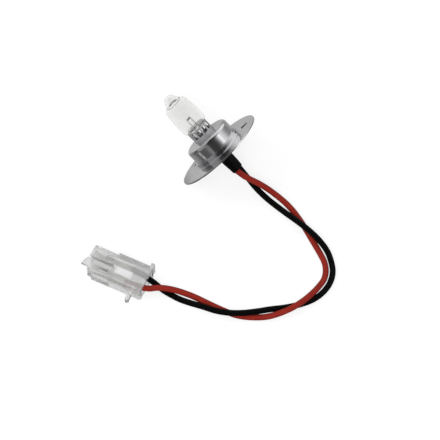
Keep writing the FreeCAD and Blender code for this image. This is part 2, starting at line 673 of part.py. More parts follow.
def wire_points(side, route):
    """All points of a wire, from its splice in the sleeve to its crimp in the plug."""
    lamp = lamp_placement()
    back = -size("flange_sheet")
    turn = FreeCAD.Rotation(Vector(0, 0, 1), size("exit_twist"))
    pair = turn.multVec(Vector(0, side * size("wire_offset"), 0))
    stop = back - size("liner_length") - size("seat_gap")
    end = back - size("shrink_length")
    plug = plug_placement()
    height = size("circuit_height")
    lane = side * size("pitch") / 2
    inside = [
        lamp.multVec(Vector(0, side * size("pin_offset"), stop)),
        lamp.multVec(pair + Vector(0, 0, end - size("sleeve_lead"))),
    ]
    entry = [
        plug.multVec(Vector(-size("mouth_lead"), side * size("mouth_lane"), height + size("mouth_lift"))),
        plug.multVec(Vector(size("mouth_depth") - size("root_sink"), lane, height)),
        plug.multVec(Vector(size("crimp_start") - size("seat_gap"), lane, height)),
    ]
    return inside + [Vector(*point) for point in route] + entry


def make_wire(name, label, side, route):
    """One wire of the lead, swept along its route."""
    points = wire_points(side, route)
    path, radii = rounded_path(points)
    radius = size("wire_radius")
    tangent = points[1] - points[0]
    section = Part.Wire(Part.makeCircle(radius, points[0], tangent))
    solid = path.makePipeShell([section], True, False)
    expected = math.pi * radius ** 2 * path.Length
    print(f"{label}: length {path.Length:.1f}, volume {solid.Volume:.1f} against {expected:.1f}")
    print("  radii " + " ".join(f"{value:.1f}" for value in radii))
    wire = doc.addObject("Part::Feature", name)
    wire.Label = label
    wire.Shape = solid
    return wire


def edges_inside(feature, low, high):
    """Names of the edges that lie wholly between two X values, in the body's own axes."""
    names = []
    for number, edge in enumerate(feature.Shape.Edges, start=1):
        ends = [vertex.Point.x for vertex in edge.Vertexes]
        if min(ends) >= low - 0.01 and max(ends) <= high + 0.01:
            names.append(f"Edge{number}")
    return names


def make_block(body):
    """The rear block, rounded everywhere but round its front face."""
    half = "({block_width} / 2)"
    block = add_box(body, "Block", ("0", "{block_length}"), ("-" + half, half), "0", "{block_height}")
    front = set(edges_inside(block, size("block_length"), size("block_length")))
    rear = [name for name in edges_inside(block, 0, size("block_length")) if name not in front]
    fillet(body, "BlockRounds", block, rear, "{block_round}")


def make_silo(body, name, side, length):
    """One silo, from inside the block to its rounded end."""
    lane = f"({side} * {{pitch}} / 2)"
    half = "({silo_width} / 2)"
    base = "({circuit_height} - {silo_height} / 2)"
    across = (f"{lane} - {half}", f"{lane} + {half}")
    silo = add_box(body, name, ("({block_length} - {root_sink})", length), across, base, "{silo_height}")
    end = size("block_length") + size("silo_length")
    if side > 0:
        end -= size("silo_step")
    fillet(body, name + "End", silo, edges_inside(silo, end, end), "{silo_round}")


def make_ear(body, number, side, place, reach, rise):
    """One ear, an arm from the block's side with a round bead on its end."""
    half = "({block_width} / 2)"
    inner = f"{side} * ({half} - {{side_sink}})"
    outer = f"{side} * ({half} + {reach} - {{ear_bead}})"
    along = (f"{place} - {{ear_sheet}} / 2", f"{place} + {{ear_sheet}} / 2")
    add_box(body, f"EarArm{number}", along, (inner, outer), "{ear_base}", rise)
    sketch = new_sketch(body, f"EarBeadOutline{number}", "XY_Plane", "{ear_base}")
    draw_circle(sketch, place, outer, "{ear_bead}")
    extrude(body, f"EarBead{number}", sketch, rise)


def make_housing():
    """The moulded plug housing: a rear block, two silos, tongue, side rail, lock windows and ears."""
    body = new_body("Housing", "plug_housing", place_in_plug)
    make_block(body)
    make_silo(body, "FarSilo", -1, SILO_END)
    make_silo(body, "NearSilo", 1, KEYED_END)
    add_tongue(body)
    outer = "({pitch} / 2 + {silo_width} / 2)"
    add_box(body, "Rail", ("({block_length} - {root_sink})", f"{KEYED_END} - {{rail_setback}}"),
            (f"{outer} - {{side_sink}}", f"{outer} + {{rail_width}}"),
            "({circuit_height} - {silo_height} / 2)", "{rail_height}")
    make_ear(body, 1, -1, "{far_ear_place}", "{far_ear_reach}", "{far_ear_rise}")
    make_ear(body, 2, 1, "{ear_place}", "{ear_reach}", "{ear_rise}")
    add_mouth(body)
    for number, side in enumerate((-1, 1), start=1):
        centre = f"{side} * ({{pitch}} / 2)"
        reach = SILO_END if side < 0 else KEYED_END
        add_bore(body, f"Cavity{number}", centre, "{cavity_radius}", "{mouth_depth} - {side_sink}", reach)
        start = "{block_length} + {latch_gap}"
        across = (f"{centre} - {{latch_width}} / 2", f"{centre} + {{latch_width}} / 2")
        add_box(body, f"LockWindow{number}", (start, start + " + {latch_length}"), across,
                "{circuit_height}", "{silo_height} / 2", "PartDesign::Pocket")
    add_bore(body, "FarMouth", "-{pitch} / 2", "{silo_bore}", SILO_END + " - {silo_bore_depth}", SILO_END)
    return body


def add_tongue(body):
    """The tongue that reaches past the keyed silo, over its mouth, longest on its outer side."""
    sketch = new_sketch(body, "TongueOutline", "XY_Plane", "{circuit_height} + {silo_height} / 2 - {tongue_sheet}")
    inner = "({pitch} / 2 - {silo_width} / 2)"
    outer = f"({inner} + {{tongue_width}})"
    root = f"({KEYED_END} - {{root_sink}})"
    tip = f"({KEYED_END} + {{tongue_reach}})"
    draw_outline(sketch, ((root, inner), (f"({tip} - {{tongue_slant}})", inner), (tip, outer), (root, outer)))
    extrude(body, "Tongue", sketch, "{tongue_sheet}")


def add_mouth(body):
    """Pocket the oblong mouth that takes both wires into the block."""
    sketch = new_sketch(body, "MouthOutline", "YZ_Plane")
    half = "({pitch} / 2 + {cavity_radius} + {mouth_room})"
    low = "({circuit_height} + {mouth_lift} - {mouth_height} / 2)"
    high = "({circuit_height} + {mouth_lift} + {mouth_height} / 2)"
    draw_outline(sketch, (("-" + half, low), (half, low), (half, high), ("-" + half, high)))
    extrude(body, "Mouth", sketch, "{mouth_depth}", "PartDesign::Pocket", reverse=True)


def add_bore(body, name, across, radius, start, end):
    """Pocket a round bore along the plug's axis between two formulas."""
    sketch = new_sketch(body, name + "Outline", "YZ_Plane", start)
    draw_circle(sketch, across, "{circuit_height}", radius)
    extrude(body, name, sketch, f"{end} - ({start})", "PartDesign::Pocket", reverse=True)


def make_terminal(name, label, side):
    """A crimped contact, turned about the cavity's axis."""
    body = new_body(name, label, None)
    body.Placement.Rotation = FreeCAD.Rotation(Vector(0, 1, 0), 90)
    place_terminal(body, side)
    end = SILO_END if side == "-1" else KEYED_END
    nose = f"({end} - {{contact_end}})"
    crimp_end = "({crimp_start} + {crimp_length})"
    lance = f"({crimp_end} + {{lance_gap}})"
    lance_end = f"({lance} + {{lance_length}})"
    revolve(body, name + "Turned", (
        ("{conductor_radius}", "{crimp_start}"), ("{crimp_radius}", "{crimp_start}"),
        ("{crimp_radius}", crimp_end), ("{contact_radius}", f"{crimp_end} + {{barrel_taper}}"),
        ("{contact_radius}", lance), ("{lance_radius}", lance), ("{lance_radius}", lance_end),
        ("{contact_radius}", lance_end), ("{contact_radius}", f"{nose} - {{nose_taper}}"),
        ("{contact_radius} / 2", nose), ("0", nose), ("0", crimp_end), ("{conductor_radius}", crimp_end)))
    return body


def place_terminal(target, side):
    """Stand a piece's Z axis along a cavity of the plug."""
    turn = FreeCAD.Rotation(Vector(0, 0, 1), size("plug_turn"))
    target.Placement.Rotation = turn.multiply(FreeCAD.Rotation(Vector(0, 1, 0), 90))
    lane = f"({side} * {{pitch}} / 2)"
    bind(target, "Placement.Base.x", f"({{plug_x}} - {lane} * sin({{plug_turn}} * 1 deg)) * 1 mm")
    bind(target, "Placement.Base.y", f"({{plug_y}} + {lane} * cos({{plug_turn}} * 1 deg)) * 1 mm")
    bind(target, "Placement.Base.z", "{circuit_height} * 1 mm")


def make_conductor_end(name, label, side):
    """The stripped end of a wire inside its crimp."""
    body = new_body(name, label, None)
    place_terminal(body, side)
    start = "({crimp_start} - {seat_gap})"
    end = "({crimp_start} + {crimp_length})"
    revolve(body, name + "Turned", (
        ("0", start), ("{conductor_radius}", start), ("{conductor_radius}", end), ("0", end)))
    return body


def check_and_export(pieces):
    """Stop on a failed object or shape, then write one file for each piece."""
    doc.recompute()
    for item in doc.Objects:
        if "Invalid" in item.State or "Error" in item.State:
            raise RuntimeError(f"{item.Name} failed: {item.State}")
    os.makedirs("parts", exist_ok=True)
    for piece in pieces:
        shape = piece.Shape
        if shape.isNull() or not shape.isValid() or not shape.Solids:
            raise RuntimeError(f"{piece.Label} has no valid solid")
        shape.exportStep(f"parts/{piece.Label}.step")
        print(f"{piece.Label}: {len(shape.Solids)} solid, {shape.Volume:.2f} mm3")


def main():
    """Build every piece and write the files."""
    fill_sheet()
    flange = make_flange()
    cup = make_cup()
    collar = make_collar()
    blank = make_capsule_blank()
    filament = make_filament()
    pieces = [flange, cup, collar, filament]
    inlay = []
    pins = []
    for name, side in (("red", "1"), ("black", "-1")):
        part = name.capitalize()
        post = make_rod(part + "Post", f"filament_post_{name}", side, "{post_offset}", "{post_radius}",
                        "{foil_top}", "({coil_height} + {post_over})")
        foil = make_foil(part + "Foil", f"sealing_foil_{name}", side)
        pin = make_rod(part + "Pin", f"base_pin_{name}", side, "{pin_offset}", "{pin_radius}",
                       "(-{flange_sheet} - {pin_end})", "{foil_base}")
        inlay += [post, foil, pin]
        pins.append(pin)
        splice_low = "(-{flange_sheet} - {splice_start} - {splice_length})"
        splice = make_tube(part + "Splice", f"crimped_splice_{name}", side, "{splice_radius}",
                           "{pin_radius}", splice_low, "(-{flange_sheet} - {splice_start})")
        liner = make_tube(part + "Liner", f"splice_liner_{name}", side, "{liner_radius}",
                          "{splice_radius}", "(-{flange_sheet} - {liner_length})", BACK)
        copper = make_rod(part + "Copper", f"spliced_copper_{name}", side, "{pin_offset}",
                          "{conductor_radius}", "(-{flange_sheet} - {liner_length} - {seat_gap} * 0.5)",
                          "(-{flange_sheet} - {pin_end} - {seat_gap})")
        pieces += [post, foil, pin, splice, liner, copper]
    capsule = cut_by("Capsule", "quartz_capsule", blank, [make_hollow()] + inlay)
    cement = cut_by("Cement", "ceramic_cement", make_cement_blank(), pins + [blank])
    pieces += [capsule, cement, make_bush(), make_shrink_sleeve()]
    pieces.append(make_wire("RedWire", "red_wire", 1, RED_ROUTE))
    pieces.append(make_wire("BlackWire", "black_wire", -1, BLACK_ROUTE))
    pieces.append(make_housing())
    for name, side in (("red", "1"), ("black", "-1")):
        part = name.capitalize()
        pieces.append(make_terminal(part + "Terminal", f"terminal_{name}", side))
        pieces.append(make_conductor_end(part + "Strands", f"stripped_end_{name}", side))
    check_and_export(pieces)


main()
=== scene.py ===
"""Dress an analyzer's halogen lamp, its shrunk sleeve, its two-wire lead and its plug.

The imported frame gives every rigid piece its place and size. Lengths are in metres, except in the
sub-assemblies' own axes, where sizes are in millimetres. +Z is up, and the bulb points towards +X.
"""

import json
import logging
import math
from dataclasses import dataclass
from enum import Enum
from typing import Callable, Sequence

import bmesh
import bpy
from mathutils import Matrix, Vector


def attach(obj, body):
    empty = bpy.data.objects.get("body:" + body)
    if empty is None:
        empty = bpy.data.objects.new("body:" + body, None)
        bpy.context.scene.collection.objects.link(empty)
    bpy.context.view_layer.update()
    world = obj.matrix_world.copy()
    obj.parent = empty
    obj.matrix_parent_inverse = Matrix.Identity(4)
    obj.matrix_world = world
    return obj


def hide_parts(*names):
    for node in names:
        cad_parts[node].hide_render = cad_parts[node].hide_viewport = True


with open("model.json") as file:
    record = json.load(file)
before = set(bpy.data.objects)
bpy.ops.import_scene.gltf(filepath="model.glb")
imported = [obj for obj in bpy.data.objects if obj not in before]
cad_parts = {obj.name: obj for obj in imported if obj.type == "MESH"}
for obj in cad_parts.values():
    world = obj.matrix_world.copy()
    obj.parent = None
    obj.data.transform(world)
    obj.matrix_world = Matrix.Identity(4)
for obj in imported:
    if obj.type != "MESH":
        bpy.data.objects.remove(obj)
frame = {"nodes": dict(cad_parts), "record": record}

LOG = logging.getLogger("lamp")
MM = 0.001
FULL_TURN = 2 * math.pi
QUARTER_TURN = math.pi / 2
RIGHT_ANGLE, CIRCLE = 90.0, 360.0
SEAM = 1e-6
BODY = "root"
FLOAT, COLOUR, VECTOR = "NodeSocketFloat", "NodeSocketColor", "NodeSocketVector"

Point2 = tuple[float, float]
Point3 = tuple[float, float, float]
Colour = tuple[float, float, float, float]
Socket = bpy.types.NodeSocket
Node = bpy.types.Node
Material = bpy.types.Material


class Side(Enum):
    """The two circuits of the lamp, by the colour of their wires."""

    RED = 1
    BLACK = -1

    @property
    def word(self) -> str:
        """The colour as it stands in the names of nodes."""
        return self.name.lower()


@dataclass(frozen=True)
class LocalAxes:
    """The own axes of a sub-assembly, in millimetres, inside the shared frame.

    Args:
        origin: Where the axes meet, in metres.
        z_axis: Direction of the local Z axis.
        y_axis: Direction of the local Y axis.
    """

    origin: Vector
    z_axis: Vector
    y_axis: Vector

    @property
    def rotation(self) -> Matrix:
        """The turn from the local axes to the shared ones."""
        x_axis = self.y_axis.cross(self.z_axis).normalized()
        return Matrix((x_axis, self.y_axis, self.z_axis)).transposed()

    @property
    def matrix(self) -> Matrix:
        """The map from local millimetres to metres in the shared frame."""
        return Matrix.Translation(self.origin) @ self.rotation.to_4x4() @ Matrix.Scale(MM, 4)

    def point(self, x: float, y: float, z: float) -> Vector:
        """The place in metres of a local point in millimetres."""
        return self.matrix @ Vector((x, y, z))


def mount(name: str) -> dict:
    """The record's mount of a given name."""
    return next(item for item in frame["record"]["mounts"] if item["name"] == name)


def lamp_axes() -> LocalAxes:
    """The lamp's own axes: Z along the capsule, with zero on the bulb side of the flange."""
    face = mount("flange_front")
    origin = Vector(face["pos_m"])
    origin.y = 0.0
    return LocalAxes(origin, Vector(face["axis"]).normalized(), Vector((0, 1, 0)))


def plug_axes(pitch: float, reach: float, height: float) -> LocalAxes:
    """The plug's own axes: X towards its mating face, Z up, with zero on the floor.

    Args:
        pitch: Spacing of the two circuits.
        reach: Distance of the keyed silo's face from the plug's rear face.
        height: Height of the circuits above the floor.

    Returns:
        The axes, found from the mount on the keyed silo's face.
    """
    face = mount("plug_face")
    along = Vector(face["axis"]).normalized()
    across = Vector((0, 0, 1)).cross(along)
    start = Vector(face["pos_m"]) - (along * reach + across * pitch / 2 + Vector((0, 0, height))) * MM
    return LocalAxes(start, Vector((0, 0, 1)), across)


def in_scene(thing: bpy.types.Object) -> bpy.types.Object:
    """Link an object to the scene."""
    bpy.context.scene.collection.objects.link(thing)
    return thing


def to_mesh(name: str, work: bmesh.types.BMesh) -> bpy.types.Mesh:
    """Turn a mesh under construction into a plain one, and free it.

    Args:
        name: The plain mesh's name.
        work: The mesh under construction.

    Returns:
        The plain mesh.
    """
    mesh = bpy.data.meshes.new(name)
    work.to_mesh(mesh)
    work.free()
    return mesh


def grey(level: float) -> Colour:
    """An opaque grey of a given level."""
    return (level, level, level, 1.0)


class Wiring:
    """Adds nodes to one tree and joins them.

    Args:
        tree: The shader or geometry tree that is built.
    """

    def __init__(self, tree: bpy.types.NodeTree) -> None:
        """Work on a tree."""
        self.tree = tree

    def link(self, source: Socket, target: Socket) -> None:
        """Lead an output to an input."""
        self.tree.links.new(source, target)

    def add(self, kind: str, values: dict | None = None, **settings: object) -> Node:
        """Add a node.

        Args:
            kind: The node's type.
            values: Socket name or number, with the value or the socket that feeds it.
            settings: Properties of the node.

        Returns:
            The new node.
        """
        node = self.tree.nodes.new(kind)
        for name, value in settings.items():
            setattr(node, name, value)
        for name, value in (values or {}).items():
            if isinstance(value, Socket):
                self.link(value, node.inputs[name])
            else:
                node.inputs[name].default_value = value
        return node

    def maths(self, operation: str, first: object, second: object = 0.0) -> Socket:
        """The result of a two-value calculation."""
        return self.add("ShaderNodeMath", {0: first, 1: second}, operation=operation).outputs[0]

    def along(self, direction: Socket, axis: Vector) -> Socket:
        """A direction's share along an axis."""
        node = self.add("ShaderNodeVectorMath", {0: direction, 1: axis}, operation="DOT_PRODUCT")
        return node.outputs["Value"]

    def xyz(self, **parts: object) -> Socket:
        """A vector of its X, Y and Z parts."""
        return self.add("ShaderNodeCombineXYZ", parts).outputs[0]

    def blend(self, factor: object, low: object, high: object) -> Socket:
        """A colour between two others."""
        return self.add("ShaderNodeMix", {0: factor, 6: low, 7: high}, data_type="RGBA").outputs[2]

    def between(self, value: Socket, low: float, high: float) -> Socket:
        """A value's place between two levels, 0 to 1."""
        return self.add("ShaderNodeMapRange", {"Value": value, "From Min": low, "From Max": high}).outputs[0]

    def noise(self, place: Socket, scale: Socket, detail: float) -> Socket:
        """Noise over a place, at a scale."""
        return self.add("ShaderNodeTexNoise", {"Vector": place, "Scale": scale, "Detail": detail}).outputs[0]

    def ramp(self, share: Socket, stops: Sequence[Point2]) -> Socket:
        """A grey that runs through stops.

        Args:
            share: Where on the run the grey is read, 0 to 1.
            stops: Place and level of each stop, in order.

        Returns:
            The grey.
        """
        node = self.add("ShaderNodeValToRGB", {"Fac": share})
        elements = node.color_ramp.elements
        while len(elements) > 1:
            elements.remove(elements[-1])
        elements[0].position, elements[0].color = stops[0][0], grey(stops[0][1])
        for place, level in stops[1:]:
            elements.new(place).color = grey(level)
        return node.outputs[0]

    def join(self, *shapes: Socket) -> Socket:
        """Several shapes as one."""
        node = self.add("GeometryNodeJoinGeometry")
        for shape in shapes:
            self.link(shape, node.inputs[0])
        return node.outputs[0]

    def spokes(self, shape: Socket, count: object, step: Socket, first: object = 0.0) -> Socket:
        """Copies of a shape, turned about the Z axis.

        Args:
            shape: What is repeated.
            count: How many copies there are.
            step: Turn from one copy to the next.
            first: Turn of the first copy.

        Returns:
            The copies, as real geometry.
        """
        index = self.add("GeometryNodeInputIndex").outputs[0]
        turn = self.maths("ADD", self.maths("MULTIPLY", index, step), first)
        rotation = self.add("FunctionNodeEulerToRotation", {0: self.xyz(Z=turn)}).outputs[0]
        points = self.add("GeometryNodePoints", {"Count": count}).outputs[0]
        placed = self.add("GeometryNodeInstanceOnPoints", {"Points": points, "Instance": shape,
                                                           "Rotation": rotation})
        return self.add("GeometryNodeRealizeInstances", {"Geometry": placed.outputs[0]}).outputs[0]


class SharedEffects:
    """The shader groups that several finishes use, each built once.

    A band holds the noise levels between which an effect sets in and is full.
    """

    tone_detail = 3.0
    tone_band = (0.35, 0.65)
    smear_detail = 5.0
    smear_band = (0.3, 0.75)
    scratch_detail = 2.0
    scratch_band = (0.62, 0.68)
    scratch_turn = (0.5, 0.3, 0.9)
    scratch_stretch = (1.0, 14.0, 3.0)
    ring_detail = 2.0

    def __init__(self) -> None:
        """Start with no group built."""
        self.built: dict[str, bpy.types.NodeTree] = {}

    def group(self, name: str, sockets: Sequence[tuple[str, str, str, object]],
              fill: Callable[[Wiring, Node, Node], None]) -> bpy.types.NodeTree:
        """Fetch a group, or build it on first use.

        Args:
            name: The group's name.
            sockets: Name, direction, type and default value of each socket.
            fill: Adds the group's nodes between its input and output nodes.

        Returns:
            The group's tree.
        """
        if name not in self.built:
            tree = bpy.data.node_groups.new(name, "ShaderNodeTree")
            for label, way, kind, value in sockets:
                socket = tree.interface.new_socket(label, in_out=way, socket_type=kind)
                if value is not None:
                    socket.default_value = value
            wiring = Wiring(tree)
            fill(wiring, wiring.add("NodeGroupInput"), wiring.add("NodeGroupOutput"))
            self.built[name] = tree
        return self.built[name]

    def mottle(self) -> bpy.types.NodeTree:
        """Slow variation between two colours, as in moulded and drawn stock."""
        sockets = (("Vector", "INPUT", VECTOR, None), ("Scale", "INPUT", FLOAT, 400.0),
                   ("Colour", "INPUT", COLOUR, grey(0.5)), ("Other", "INPUT", COLOUR, grey(0.4)),
                   ("Colour", "OUTPUT", COLOUR, None), ("Mask", "OUTPUT", FLOAT, None))

        def fill(wiring: Wiring, inlet: Node, outlet: Node) -> None:
            """Spread soft noise over both colours.

            Args:
                wiring: Adds the group's nodes.
                inlet: The group's input node.
                outlet: The group's output node.
            """
            noise = wiring.noise(inlet.outputs["Vector"], inlet.outputs["Scale"], self.tone_detail)
            mask = wiring.between(noise, *self.tone_band)
            mixed = wiring.blend(mask, inlet.outputs["Colour"], inlet.outputs["Other"])
            wiring.link(mixed, outlet.inputs["Colour"])
            wiring.link(mask, outlet.inputs["Mask"])

        return self.group("Mottle", sockets, fill)

    def handling(self) -> bpy.types.NodeTree:
        """Fine scratches and smears that handling leaves, as roughness and height."""
        sockets = (("Vector", "INPUT", VECTOR, None), ("Scale", "INPUT", FLOAT, 300.0),
                   ("Smooth", "INPUT", FLOAT, 0.1), ("Rough", "INPUT", FLOAT, 0.25),
                   ("Roughness", "OUTPUT", FLOAT, None), ("Height", "OUTPUT", FLOAT, None))

        def fill(wiring: Wiring, inlet: Node, outlet: Node) -> None:
            """Smear the roughness, and draw long thin scratches.

            Args:
                wiring: Adds the group's nodes.
                inlet: The group's input node.
                outlet: The group's output node.
            """
            smear = wiring.noise(inlet.outputs["Vector"], inlet.outputs["Scale"], self.smear_detail)
            stretched = wiring.add("ShaderNodeMapping", {
                "Vector": inlet.outputs["Vector"], "Rotation": self.scratch_turn,
                "Scale": self.scratch_stretch})
            scratch = wiring.noise(stretched.outputs[0], inlet.outputs["Scale"], self.scratch_detail)
            level = wiring.add("ShaderNodeMapRange", {
                "Value": smear, "From Min": self.smear_band[0], "From Max": self.smear_band[1],
                "To Min": inlet.outputs["Smooth"], "To Max": inlet.outputs["Rough"]})
            wiring.link(level.outputs[0], outlet.inputs["Roughness"])
            wiring.link(wiring.between(scratch, *self.scratch_band), outlet.inputs["Height"])

        return self.group("Handling marks", sockets, fill)

    def turning(self) -> bpy.types.NodeTree:
        """Fine rings about the local Z axis, as spinning and polishing leave them."""
        sockets = (("Vector", "INPUT", VECTOR, None), ("Pitch", "INPUT", FLOAT, 0.0001),
                   ("Height", "OUTPUT", FLOAT, None))

        def fill(wiring: Wiring, inlet: Node, outlet: Node) -> None:
            """Count rings by the distance from the axis and the height on it.

            Args:
                wiring: Adds the group's nodes.
                inlet: The group's input node.
                outlet: The group's output node.
            """
            parts = wiring.add("ShaderNodeSeparateXYZ", {0: inlet.outputs["Vector"]})
            flat = wiring.xyz(X=parts.outputs[0], Y=parts.outputs[1])
            radius = wiring.add("ShaderNodeVectorMath", {0: flat}, operation="LENGTH").outputs["Value"]
            both = wiring.maths("ADD", radius, parts.outputs[2])
            count = wiring.maths("DIVIDE", both, inlet.outputs["Pitch"])
            rings = wiring.add("ShaderNodeTexNoise", {"W": count, "Scale": 1.0, "Detail": self.ring_detail},
                               noise_dimensions="1D")
            wiring.link(rings.outputs[0], outlet.inputs["Height"])

        return self.group("Turning marks", sockets, fill)


EFFECTS = SharedEffects()


class Surface:
    """One material under construction, with its coordinates and its shader.

    Args:
        name: The material's name.
        axes: The axes that the pattern follows.
        sockets: Constant values of the Principled shader's own sockets.
    """

    def __init__(self, name: str, axes: LocalAxes, sockets: dict[str, object]) -> None:
        """Make the material, with its coordinates in the axes."""
        self.material = bpy.data.materials.new(name)
        self.material.use_nodes = True
        tree = self.material.node_tree
        self.wiring = Wiring(tree)
        self.shader = next(node for node in tree.nodes if node.type == "BSDF_PRINCIPLED")
        for label, value in sockets.items():
            self.shader.inputs[label].default_value = value
        source = self.wiring.add("ShaderNodeTexCoord")
        self.local = self.wiring.add("ShaderNodeMapping", {
            "Vector": source.outputs["Object"], "Location": axes.origin,
            "Rotation": axes.rotation.to_euler()}, vector_type="TEXTURE").outputs[0]

    def effect(self, tree: bpy.types.NodeTree, **values: object) -> Node:
        """Place a shared group, fed with the local coordinates.

        Args:
            tree: The group's tree.
            values: The group's inputs.

        Returns:
            The group's node.
        """
        node = self.wiring.add("ShaderNodeGroup", node_tree=tree)
        self.wiring.link(self.local, node.inputs["Vector"])
        for label, value in values.items():
            node.inputs[label].default_value = value
        return node

    def feed(self, label: str, source: Socket) -> None:
        """Feed one of the shader's sockets."""
        self.wiring.link(source, self.shader.inputs[label])

    def tint(self, scale: float, colour: Colour, other: Colour) -> Node:
        """Vary the base colour slowly.

        Args:
            scale: Fineness of the variation.
            colour: The main colour.
            other: The colour that it runs to.

        Returns:
            The group's node, whose mask tells where the other colour is.
        """
        tone = self.effect(EFFECTS.mottle(), Scale=scale, Colour=colour, Other=other)
        self.feed("Base Color", tone.outputs["Colour"])
        return tone

    def wear(self, scale: float, smooth: float, rough: float) -> Node:
        """Vary the roughness as handling does.

        Args:
            scale: Fineness of the smears and scratches.
            smooth: Roughness of the clean places.
            rough: Roughness of the smeared places.

        Returns:
            The group's node, whose height holds the scratches.
        """
        marks = self.effect(EFFECTS.handling(), Scale=scale, Smooth=smooth, Rough=rough)
        self.feed("Roughness", marks.outputs["Roughness"])
        return marks

    def bump(self, height: Socket, depth: float) -> None:
        """Raise the surface by a height map, on top of any relief that it has.

        Args:
            height: The height map.
            depth: Height of its full level, in metres.
        """
        values = {"Height": height, "Distance": depth, "Strength": 1.0}
        fed = self.shader.inputs["Normal"]
        if fed.is_linked:
            values["Normal"] = fed.links[0].from_socket
        self.feed("Normal", self.wiring.add("ShaderNodeBump", values).outputs[0])


@dataclass(frozen=True)
class MetalFinish:
    """Bare metal with rings of turning or drawing and light handling marks."""

    name: str
    colour: Colour
    other: Colour
    smooth: float
    rough: float
    ring_pitch: float
    ring_depth: float
    mark_depth: float = 2e-7
    metallic: float = 1.0
    tone_scale: float = 220.0
    mark_scale: float = 260.0

    def build(self, axes: LocalAxes) -> Material:
        """Make the material.

        Args:
            axes: The axes that the pattern follows.

        Returns:
            The material.
        """
        surface = Surface(self.name, axes, {"Metallic": self.metallic})
        surface.tint(self.tone_scale, self.colour, self.other)
        marks = surface.wear(self.mark_scale, self.smooth, self.rough)
        rings = surface.effect(EFFECTS.turning(), Pitch=self.ring_pitch)
        surface.bump(rings.outputs["Height"], self.ring_depth)
        surface.bump(marks.outputs["Height"], self.mark_depth)
        return surface.material


@dataclass(frozen=True)
class MineralFinish:
    """Cement or fired ceramic: matt, pale and finely grained."""

    name: str
    colour: Colour
    other: Colour
    roughness: float
    grain: float
    depth: float

    def build(self, axes: LocalAxes) -> Material:
        """Make the material.

        Args:
            axes: The axes that the pattern follows.

        Returns:
            The material.
        """
        surface = Surface(self.name, axes, {"Roughness": self.roughness})
        tone = surface.tint(self.grain, self.colour, self.other)
        surface.bump(tone.outputs["Mask"], self.depth)
        return surface.material


@dataclass(frozen=True)
class PlasticFinish:
    """Drawn or shrunk plastic with a soft gloss that handling has dulled in places."""

    name: str
    colour: Colour
    other: Colour
    smooth: float
    rough: float
    grain: float
    depth: float
    gloss: float
    ior: float = 1.5

    def build(self, axes: LocalAxes) -> Material:
        """Make the material.

        Args:
            axes: The axes that the pattern follows.

        Returns:
            The material.
        """
        surface = Surface(self.name, axes, {"IOR": self.ior, "Specular IOR Level": self.gloss})
        surface.tint(self.grain, self.colour, self.other)
        marks = surface.wear(self.grain * 2, self.smooth, self.rough)
        surface.bump(marks.outputs["Height"], self.depth)
        return surface.material


@dataclass(frozen=True)
class GlassFinish:
    """Fused quartz: clear, with faint drawn streaks and a trace of haze."""

    name: str = "fused_quartz"
    colour: Colour = (0.91, 0.915, 0.905, 1.0)
    haze: Colour = (0.865, 0.87, 0.86, 1.0)
    haze_scale: float = 90.0
    ior: float = 1.46
    ripple_pitch: float = 0.0011
    ripple: float = 4e-6

    def build(self, axes: LocalAxes) -> Material:
        """Make the material.

        Args:
            axes: The axes that the pattern follows.

        Returns:
            The material.
        """
        surface = Surface(self.name, axes, {"Roughness": 0.0, "IOR": self.ior, "Transmission Weight": 1.0})
        surface.tint(self.haze_scale, self.colour, self.haze)
        waves = surface.effect(EFFECTS.turning(), Pitch=self.ripple_pitch)
        surface.bump(waves.outputs["Height"], self.ripple)
        return surface.material


@dataclass(frozen=True)
class NylonFinish:
    """Natural moulded nylon: milky, translucent and smooth."""

    name: str = "natural_nylon"
    colour: Colour = (0.86, 0.865, 0.86, 1.0)
    other: Colour = (0.80, 0.805, 0.80, 1.0)
    tone_scale: float = 240.0
    clarity: float = 0.72
    ior: float = 1.35
    mark_scale: float = 300.0
    smooth: float = 0.21
    rough: float = 0.23

    def build(self, axes: LocalAxes) -> Material:
        """Make the material.

        Args:
            axes: The axes that the pattern follows.

        Returns:
            The material.
        """
        surface = Surface(self.name, axes, {"IOR": self.ior, "Transmission Weight": self.clarity})
        surface.tint(self.tone_scale, self.colour, self.other)
        surface.wear(self.mark_scale, self.smooth, self.rough)
        return surface.material


POLISHED = MetalFinish("polished_aluminium", (0.80, 0.80, 0.81, 1), (0.74, 0.74, 0.76, 1), smooth=0.05,
                       rough=0.11, ring_pitch=0.0003, ring_depth=2e-9, mark_depth=4e-9)
SATIN = MetalFinish("satin_aluminium", (0.46, 0.45, 0.47, 1), (0.42, 0.41, 0.43, 1), smooth=0.3, rough=0.42,
                    ring_pitch=0.00006, ring_depth=1e-6, metallic=0.4)
TUNGSTEN = MetalFinish("tungsten_wire", (0.22, 0.21, 0.21, 1), (0.14, 0.13, 0.13, 1), smooth=0.3, rough=0.45,
                       ring_pitch=0.00004, ring_depth=1e-6)
DRAWN_WIRE = MetalFinish("drawn_tungsten", (0.62, 0.61, 0.60, 1), (0.52, 0.51, 0.50, 1), smooth=0.3,
                         rough=0.45, ring_pitch=0.00004, ring_depth=1e-6, metallic=0.5)
FOIL = MetalFinish("molybdenum_foil", (0.50, 0.49, 0.50, 1), (0.38, 0.37, 0.38, 1), smooth=0.2, rough=0.4,
                   ring_pitch=0.0002, ring_depth=4e-6)
PIN = MetalFinish("pin_wire", (0.56, 0.55, 0.55, 1), (0.46, 0.45, 0.45, 1), smooth=0.2, rough=0.35,
                  ring_pitch=0.00005, ring_depth=1e-6)
TINNED = MetalFinish("tinned_brass", (0.70, 0.68, 0.62, 1), (0.58, 0.55, 0.48, 1), smooth=0.22, rough=0.4,
                     ring_pitch=0.0003, ring_depth=2e-6)
